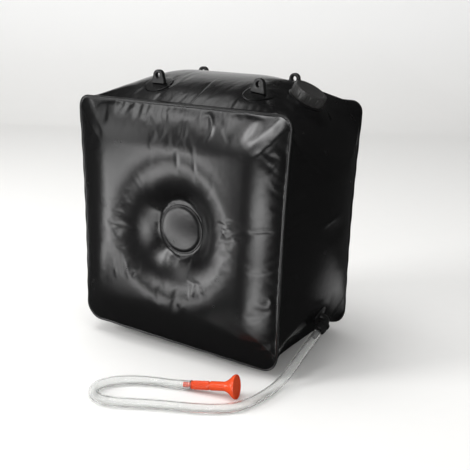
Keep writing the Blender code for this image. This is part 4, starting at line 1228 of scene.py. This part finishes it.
def film_skin(name):
    """Tree of a film's outer side, to seat fittings on"""
    maker = bmesh.new()
    maker.from_mesh(bpy.data.objects[name].data)
    tree = BVHTree.FromBMesh(maker)
    maker.free()
    return tree


class ShowerTie(bpy.types.Operator):
    """Welded discs over the inner tie, on both faces"""

    bl_idname = "shower_bag.tie_discs"
    bl_label = "Weld the tie discs"

    def execute(self, context):
        profile = [(share * TIE_DISC_RADIUS, DISC_RIM + rise) for share, rise in DISC_DOME]
        profile += [(TIE_DISC_RADIUS, 0.5 * DISC_RIM), (TIE_DISC_RADIUS, 0.0), (0.0, 0.0)]
        for side, way in (("front", -1.0), ("back", 1.0)):
            maker = lathe(profile, DISC_STEPS)
            round_off(maker, DISC_EDGE)
            seat = (0.0, way * (0.5 * DEPTH - TIE_RECESS + GAP), TIE_HEIGHT)
            matrix = stand(seat, (0.0, way, 0.0), (1.0, 0.0, 0.0))
            put_in(maker, side + "_disc", "bag_film", "bag", side + "_tie_disc", matrix)
        return {"FINISHED"}


def top_way(x, depth):
    """Place on the bag's top and the outward direction there"""
    def height(across, along):
        half_width, top, bottom, corner = section_size(along)
        past = max(0.0, abs(across) - (half_width - corner))
        return top - corner + math.sqrt(corner * corner - past * past)
    step = PATCH_THICKNESS
    slope_x = (height(x + step, depth) - height(x - step, depth)) / (2.0 * step)
    slope_y = (height(x, depth + step) - height(x, depth - step)) / (2.0 * step)
    return Vector((x, depth, height(x, depth))), Vector((-slope_x, -slope_y, 1.0)).normalized()


class ShowerEyes(bpy.types.Operator):
    """Round patches and hanging lugs on the top"""

    bl_idname = "shower_bag.eyes"
    bl_label = "Weld the hanging eyes"

    def execute(self, context):
        skin = film_skin("gusset_film")
        for label, (x, depth) in EYES.items():
            place, way = top_way(x, depth)
            self.add_patch(label, place, way, skin)
            self.add_lug(label, place, way)
        return {"FINISHED"}

    def add_patch(self, label, place, way, skin):
        """Disc that follows the film, with a rounded rim"""
        shares = [(i / PATCH_RINGS, 1.0) for i in range(PATCH_RINGS)] + list(PATCH_RIM)
        profile = [(PATCH_RADIUS * share, up) for share, up in shares]
        maker = lathe(profile, PATCH_STEPS)
        matrix = stand(place, way)
        for vert in maker.verts:
            up = vert.co.z
            start = matrix @ Vector((vert.co.x, vert.co.y, PATCH_RADIUS))
            hit = skin.ray_cast(start, -way)[0]
            vert.co = hit + way * PATCH_THICKNESS * up
        bmesh.ops.recalc_face_normals(maker, faces=maker.faces)
        put_in(maker, "patch_" + label, "bag_film", "bag", "hang_patch_" + label)

    def add_lug(self, label, place, way):
        """Plate with a round head over a wider foot, and its hole"""
        maker = bmesh.new()
        rings = []
        for radius in (LUG_HEAD_RADIUS, LUG_HOLE_RADIUS):
            made = bmesh.ops.create_circle(maker, segments=LUG_STEPS, radius=radius)
            rings.append(made["verts"])
        for vert in rings[0]:
            vert.co = self.outline_at(vert.co)
        loops = list({edge for ring in rings for vert in ring for edge in vert.link_edges})
        bmesh.ops.bridge_loops(maker, edges=loops)
        for vert in maker.verts:
            vert.co = Vector((vert.co.x, -0.5 * LUG_THICKNESS, vert.co.y + LUG_EYE_HEIGHT))
        grown = bmesh.ops.extrude_face_region(maker, geom=maker.faces[:])
        bmesh.ops.translate(maker, verts=new_points(grown), vec=(0.0, LUG_THICKNESS, 0.0))
        bmesh.ops.recalc_face_normals(maker, faces=maker.faces)
        round_off(maker, LUG_ROUNDING, segments=3, steep=math.radians(50))
        lean = Vector((way.x, 0.0, way.z)).normalized()
        matrix = stand(place, lean, (lean.z, 0.0, -lean.x))
        put_in(maker, "lug_" + label, "black_moulding", "bag", "hang_lug_" + label, matrix)

    def outline_at(self, co):
        """Point of the lug's outline in the direction of a point on its head"""
        direction = co.normalized()
        low = LUG_FOOT_LOW - LUG_EYE_HEIGHT
        shelf = LUG_FOOT_HIGH - LUG_EYE_HEIGHT
        reach = LUG_HEAD_RADIUS
        if direction.y < 0.0:
            across = abs(direction.x)
            down = -direction.y
            slope = (LUG_HALF_FOOT - LUG_HEAD_RADIUS) / -shelf
            side = LUG_HEAD_RADIUS / max(MERGE, across - slope * down)
            if across <= slope * down or side * down > -shelf:
                side = LUG_HALF_FOOT / max(MERGE, across)
            reach = min(side, -low / down)
        return direction * reach


class ShowerFiller(bpy.types.Operator):
    """Filler neck and its ribbed screw cap"""

    bl_idname = "shower_bag.filler"
    bl_label = "Fit the filler"

    def execute(self, context):
        edge = context.scene.shower_fittings.edge
        matrix = stand(CAP_PLACE, CAP_AXIS)
        start = NECK_HEIGHT - FILLER_PITCH * FILLER_TURNS - FILLER_LAND
        neck = lathe(
            [
                (NECK_RADIUS, NECK_HEIGHT), (NECK_RADIUS, 2.0 * FLANGE_THICKNESS),
                (NECK_RADIUS + FLANGE_THICKNESS, FLANGE_THICKNESS),
                (FLANGE_RADIUS - FLANGE_THICKNESS, 0.7 * FLANGE_THICKNESS), (FLANGE_RADIUS, 0.0),
                (NECK_RADIUS, 0.0), (NECK_RADIUS, -NECK_DEPTH), (NECK_BORE_RADIUS, -NECK_DEPTH),
                (NECK_BORE_RADIUS, NECK_HEIGHT),
            ],
            NECK_STEPS, ring=True,
        )
        round_off(neck, edge)
        helix(neck, NECK_RADIUS, FILLER_RIDGE, start, FILLER_PITCH, FILLER_TURNS)
        put_in(neck, "filler_mouth", "black_moulding", "bag", "filler_neck", matrix)

        lid = lathe(
            [
                (0.0, CAP_CROWN - CAP_DISH),
                (CAP_RADIUS - CAP_RIM_WIDTH - CAP_CHAMFER, CAP_CROWN - CAP_DISH),
                (CAP_RADIUS - CAP_RIM_WIDTH, CAP_CROWN), (CAP_RADIUS - CAP_CHAMFER, CAP_CROWN),
                (CAP_RADIUS, CAP_CROWN - CAP_CHAMFER), (CAP_RADIUS, CAP_CROWN - 0.0024),
                (CAP_RADIUS, CAP_FOOT + 0.0022), (CAP_RADIUS, CAP_FOOT),
                (CAP_BORE, CAP_FOOT), (CAP_BORE, CAP_LID), (0.0, CAP_LID),
            ],
            CAP_RIBS * 10,
        )
        raise_blocks(
            lid, CAP_RIBS, CAP_RIB_WIDTH, CAP_RADIUS,
            CAP_FOOT + CAP_RIB_MARGIN, CAP_CROWN - CAP_RIB_MARGIN, CAP_RIB_PROUD,
        )
        round_off(lid, 0.5 * edge, steep=RIB_ANGLE)
        start += 0.5 * FILLER_PITCH
        helix(lid, CAP_BORE, FILLER_RIDGE, start, FILLER_PITCH, FILLER_TURNS, inward=True)
        put_in(lid, "screw_cap", "cap_plastic", "cap", "filler_cap", matrix)
        return {"FINISHED"}


class ShowerOutlet(bpy.types.Operator):
    """Elbow spout, union nut and the barbed tail in the hose"""

    bl_idname = "shower_bag.outlet"
    bl_label = "Fit the outlet"

    def execute(self, context):
        edge = context.scene.shower_fittings.edge
        matrix = stand(SPOUT_CORNER, NUT_AXIS)
        self.add_spout(matrix, edge)
        self.add_nut(matrix, edge)
        self.add_tail(matrix)
        return {"FINISHED"}

    def add_spout(self, matrix, edge):
        """Flange on the film, elbow, ring, and the thread for the nut"""
        spout = lathe(
            [
                (SPOUT_RADIUS, 3.0 * SPOUT_FLANGE), (SPOUT_RADIUS + 2.0 * SPOUT_FLANGE, 1.3 * SPOUT_FLANGE),
                (SPOUT_FLANGE_RADIUS - 0.0004, 0.8 * SPOUT_FLANGE), (SPOUT_FLANGE_RADIUS, 0.0),
                (SPOUT_RADIUS, 0.0),
            ],
            SPOUT_STEPS, ring=True,
        )
        round_off(spout, edge)
        bmesh.ops.transform(spout, matrix=stand(OUTLET_PLACE, OUTLET_WAY), verts=spout.verts)
        self.add_pipe(spout, self.elbow_line())
        ring = lathe(
            [
                (SPOUT_RADIUS - 0.0004, RING_END), (RING_RADIUS, RING_END), (RING_RADIUS, RING_START),
                (SPOUT_RADIUS - 0.0004, RING_START),
            ],
            SPOUT_STEPS, ring=True,
        )
        round_off(ring, edge)
        helix(ring, SPOUT_RADIUS, NUT_RIDGE, SPOUT_THREAD)
        bmesh.ops.transform(ring, matrix=matrix, verts=ring.verts)
        mesh = mesh_of(ring, "ring")
        spout.from_mesh(mesh)
        bpy.data.meshes.remove(mesh)
        put_in(spout, "elbow_spout", "black_moulding", "bag", "outlet_spout")

    def elbow_line(self):
        """Middle line of the elbow, from inside the film to the spout's end"""
        start = OUTLET_PLACE - OUTLET_WAY * 0.003
        end = SPOUT_CORNER + NUT_AXIS * SPOUT_END
        back = (start - SPOUT_CORNER).normalized() * SPOUT_BEND
        ahead = (end - SPOUT_CORNER).normalized() * SPOUT_BEND
        points = [start]
        for i in range(9):
            share = i / 8
            points.append((SPOUT_CORNER + back * (1.0 - share)).lerp(SPOUT_CORNER + ahead * share, share))
        points.append(end)
        return points

    def add_pipe(self, maker, points):
        """Hollow pipe along a line: outer and inner tubes joined at both ends"""
        rings = {}
        for radius in (SPOUT_RADIUS, SPOUT_BORE):
            rows = []
            for i, point in enumerate(points):
                before = points[max(0, i - 1)]
                after = points[min(len(points) - 1, i + 1)]
                made = bmesh.ops.create_circle(
                    maker, segments=PIPE_STEPS, radius=radius,
                    matrix=stand(point, after - before, (0.2, -0.4, 0.9)),
                )
                rows.append(made["verts"])
            for one, two in zip(rows, rows[1:]):
                bmesh.ops.bridge_loops(maker, edges=self.loops_of(one) + self.loops_of(two))
            rings[radius] = rows
        for end in (0, -1):
            edges = self.loops_of(rings[SPOUT_RADIUS][end]) + self.loops_of(rings[SPOUT_BORE][end])
            bmesh.ops.bridge_loops(maker, edges=edges)
        pipe = {face for rows in rings.values() for row in rows for vert in row for face in vert.link_faces}
        bmesh.ops.recalc_face_normals(maker, faces=list(pipe))

    def loops_of(self, ring):
        """Edges of one circle"""
        inside = set(ring)
        return list({edge for vert in ring for edge in vert.link_edges if set(edge.verts) <= inside})

    def add_nut(self, matrix, edge):
        """Ribbed union nut"""
        nut = lathe(
            [
                (NUT_RADIUS - 0.0004, NUT_END),
                (NUT_RADIUS, NUT_END - 0.0006), (NUT_RADIUS, NUT_END - 0.0014),
                (NUT_RADIUS, NUT_START + 0.0009), (NUT_RADIUS, NUT_START), (NUT_BORE, NUT_START),
                (NUT_BORE, NUT_LIP_START), (TAIL_BARB + GAP, NUT_LIP_START), (TAIL_BARB + GAP, NUT_END),
            ],
            NUT_RIBS * 8, ring=True,
        )
        raise_blocks(
            nut, NUT_RIBS, NUT_RIB_WIDTH, NUT_RADIUS,
            NUT_START + NUT_RIB_MARGIN, NUT_END - NUT_RIB_MARGIN, NUT_RIB_PROUD,
        )
        round_off(nut, 0.3 * edge, steep=RIB_ANGLE)
        helix(nut, NUT_BORE, NUT_RIDGE, NUT_THREAD, inward=True)
        put_in(nut, "union_nut", "black_moulding", "nut", "outlet_nut", matrix)

    def add_tail(self, matrix):
        """Flanged tail whose barbs show through the hose"""
        end = HOSE_START + TAIL_BARB_LENGTH
        third = TAIL_BARB_LENGTH / 3.0
        profile = [(2.0 * TAIL_RADIUS - TAIL_BARB, end)]
        for i in range(3):
            low = end - third * (i + 0.7)
            profile.append((TAIL_BARB, low))
            profile.append((TAIL_RADIUS - 0.0003, low - 0.2 * third))
        profile += [
            (TAIL_RADIUS, TAIL_START + 0.0012), (SPOUT_RADIUS, TAIL_START + 0.0012),
            (SPOUT_RADIUS, TAIL_START), (TAIL_BORE, TAIL_START), (TAIL_BORE, end),
        ]
        tail = lathe(profile, TAIL_STEPS, ring=True)
        put_in(tail, "barbed_tail", "black_moulding", "bag", "outlet_tail", matrix)


class ShowerHead(bpy.types.Operator):
    """Red stem, knurled grip, trumpet rose and spray plate"""

    bl_idname = "shower_bag.head"
    bl_label = "Fit the shower head"

    def execute(self, context):
        self.add_stem()
        self.add_grip()
        self.add_rose(context.scene.shower_fittings.edge)
        self.add_plate()
        return {"FINISHED"}

    def publish(self, maker, name, body, node):
        """Lays a piece along the head's axis"""
        put_in(maker, name, "red_plastic", body, node, stand(HEAD_START, HEAD_AIM))

    def add_stem(self):
        """Hollow stem with barbs in the hose and a thread for the rose"""
        third = STEM_BARB_LENGTH / 3.0
        neck = STEM_BARB - 0.0004
        profile = [
            (STEM_RADIUS, STEM_END), (STEM_RADIUS, SHOULDER_END), (STEM_SHOULDER_RADIUS, SHOULDER_END),
            (STEM_SHOULDER_RADIUS, SHOULDER_START), (neck, SHOULDER_START),
        ]
        for i in range(3):
            low = SHOULDER_START - third * (i + 0.5)
            profile += [(neck, low), (STEM_BARB, low - 0.1 * third), (neck, low - 0.5 * third)]
        end = SHOULDER_START - STEM_BARB_LENGTH
        profile += [(STEM_BORE, end), (STEM_BORE, STEM_END)]
        stem = lathe(profile, STEM_STEPS, ring=True)
        helix(stem, STEM_RADIUS, ROSE_RIDGE, STEM_THREAD)
        self.publish(stem, "stem", "bag", "head_stem")

    def add_grip(self):
        """Sleeve with a knurl of small raised beads"""
        low, high = GRIP_START + BEAD_MARGIN, GRIP_END - BEAD_MARGIN
        body = GRIP_RADIUS - BEAD_HEIGHT
        profile = [(body, GRIP_END)]
        profile += [(body, high - (high - low) * i / BEAD_ROWS) for i in range(BEAD_ROWS + 1)]
        profile += [(body, GRIP_START), (STEM_RADIUS + GAP, GRIP_START), (STEM_RADIUS + GAP, GRIP_END)]
        grip = lathe(profile, BEAD_COLUMNS, ring=True)
        cells = []
        for face in grip.faces:
            centre = face.calc_center_median()
            if math.hypot(centre.x, centre.y) < 0.95 * body or not low < centre.z < high:
                continue
            column = math.floor((math.atan2(centre.y, centre.x) / FULL_TURN + 1.0) * BEAD_COLUMNS)
            row = math.floor((centre.z - low) / (high - low) * BEAD_ROWS)
            if (row + column) % 2 == 0:
                cells.append(face)
        bmesh.ops.inset_individual(
            grip, faces=cells, thickness=BEAD_GAP, depth=BEAD_HEIGHT, use_even_offset=True
        )
        round_off(grip, 0.00012, steep=math.radians(28))
        self.publish(grip, "knurled_grip", "bag", "head_grip")

    def flare_radius(self, share):
        """Radius of the trumpet at a share of its length"""
        return ROSE_NECK_RADIUS + (ROSE_RIM_RADIUS - ROSE_NECK_RADIUS) * share ** FLARE_POWER

    def add_rose(self, edge):
        """Trumpet-shaped rose with a step behind its neck and a rolled rim"""
        run = RIM_START - FLARE_START
        shares = [i / FLARE_STEPS for i in range(FLARE_STEPS + 1)]
        outer = [(self.flare_radius(share), FLARE_START + run * share) for share in shares]
        throat = ROSE_NECK_RADIUS - ROSE_WALL
        inner = [(max(throat, radius - ROSE_WALL), height) for radius, height in outer]
        profile = [
            (ROSE_RIM_RADIUS - ROSE_WALL, MOUTH), (ROSE_RIM_RADIUS - 0.0005, MOUTH),
            (ROSE_RIM_RADIUS, MOUTH - 0.0006), (ROSE_RIM_RADIUS, RIM_START + 0.0012),
        ]
        profile += list(reversed(outer))[1:]
        profile += [
            (ROSE_NECK_RADIUS, ROSE_START + 0.0015), (ROSE_NECK_RADIUS - 0.0003, ROSE_START),
            (ROSE_SOCKET, ROSE_START), (ROSE_SOCKET, ROSE_SOCKET_END), (STEM_BORE, ROSE_SOCKET_END),
            (STEM_BORE, ROSE_SOCKET_END + ROSE_WALL), (throat, ROSE_SOCKET_END + 2.0 * ROSE_WALL),
        ]
        profile += inner
        rose = lathe(profile, ROSE_STEPS, ring=True)
        round_off(rose, 0.6 * edge, steep=math.radians(35))
        helix(rose, ROSE_SOCKET, ROSE_RIDGE, ROSE_THREAD, inward=True)
        self.publish(rose, "trumpet_rose", "rose", "head_rose")

    def add_plate(self):
        """Flat plate with its spray holes"""
        thick = PLATE_HIGH - PLATE_LOW
        plate = lathe(
            [(0.0, PLATE_HIGH), (0.5 * PLATE_RADIUS, PLATE_HIGH), (PLATE_RADIUS, PLATE_HIGH),
             (PLATE_RADIUS, PLATE_LOW), (0.0, PLATE_LOW)],
            ROSE_STEPS,
        )
        round_off(plate, 0.0002)
        for count, share in zip(SPRAY_HOLE_COUNTS, SPRAY_HOLE_SHARES):
            for i in range(count):
                angle = FULL_TURN * i / count
                middle = Vector((math.cos(angle), math.sin(angle), 0.0)) * PLATE_RADIUS * share
                middle.z = PLATE_HIGH
                bead = bmesh.ops.create_cone(
                    plate, cap_ends=True, segments=SPRAY_HOLE_SIDES, radius1=SPRAY_HOLE_RADIUS * 1.7,
                    radius2=SPRAY_HOLE_RADIUS * 1.2, depth=SPRAY_BEAD, matrix=Matrix.Translation(middle),
                )
                tops = [face for vert in bead["verts"] for face in vert.link_faces
                        if len(face.verts) == SPRAY_HOLE_SIDES and face.normal.z > 0.5]
                tops = list(set(tops))
                bmesh.ops.inset_region(plate, faces=tops, thickness=0.0003, depth=0.0)
                bmesh.ops.inset_region(plate, faces=tops, thickness=0.0001, depth=-thick)
        self.publish(plate, "perforated_plate", "rose", "spray_plate")


class ShowerInside(bpy.types.Operator):
    """Finishes of the seals, washers, anchor discs and strap that the frame keeps"""

    bl_idname = "shower_bag.inside"
    bl_label = "Finish the inner pieces"

    def execute(self, context):
        slots = {
            "front_anchor_disc": "bag_film",
            "back_anchor_disc": "bag_film",
            "tie_strap": "webbing",
            "cap_seal": "black_rubber",
            "outlet_washer": "black_rubber",
            "nut_slip_ring": "black_moulding",
            "rose_seal": "black_rubber",
        }
        for name, slot in slots.items():
            node = frame["nodes"][name]
            for place in node.material_slots:
                place.material = finish_for(slot, context.scene)
        return {"FINISHED"}


STEPS = (
    ShowerStage, ShowerHose, ShowerFilm, ShowerTie, ShowerEyes, ShowerFiller, ShowerOutlet, ShowerHead,
    ShowerInside,
)
SETTINGS = {
    "shower_film": FilmSettings,
    "shower_fittings": FittingSettings,
    "shower_hose": HoseSettings,
    "shower_stage": StageSettings,
}


class ShowerPanel(bpy.types.Panel):
    """Settings and steps of the shower bag"""

    bl_idname = "VIEW3D_PT_shower_bag"
    bl_label = "Shower bag"
    bl_space_type = "VIEW_3D"
    bl_region_type = "UI"
    bl_category = "Shower bag"

    def draw(self, context):
        for name, group in SETTINGS.items():
            box = self.layout.box()
            for key in group.__annotations__:
                box.prop(getattr(context.scene, name), key)
        for step in STEPS:
            self.layout.operator(step.bl_idname)


def register():
    """Adds the classes and the settings to Blender"""
    for group in (*SETTINGS.values(), *STEPS, ShowerPanel):
        bpy.utils.register_class(group)
    for name, group in SETTINGS.items():
        setattr(bpy.types.Scene, name, bpy.props.PointerProperty(type=group))


def unregister():
    """Takes them away again"""
    for name in SETTINGS:
        delattr(bpy.types.Scene, name)
    for group in reversed((*SETTINGS.values(), *STEPS, ShowerPanel)):
        bpy.utils.unregister_class(group)


def main():
    """Builds the whole bag"""
    register()
    bpy.ops.shower_bag.stage()
    bpy.ops.shower_bag.hose()
    bpy.ops.shower_bag.film()
    bpy.ops.shower_bag.tie_discs()
    bpy.ops.shower_bag.eyes()
    bpy.ops.shower_bag.filler()
    bpy.ops.shower_bag.outlet()
    bpy.ops.shower_bag.head()
    bpy.ops.shower_bag.inside()


if __name__ == "__main__":
    main()
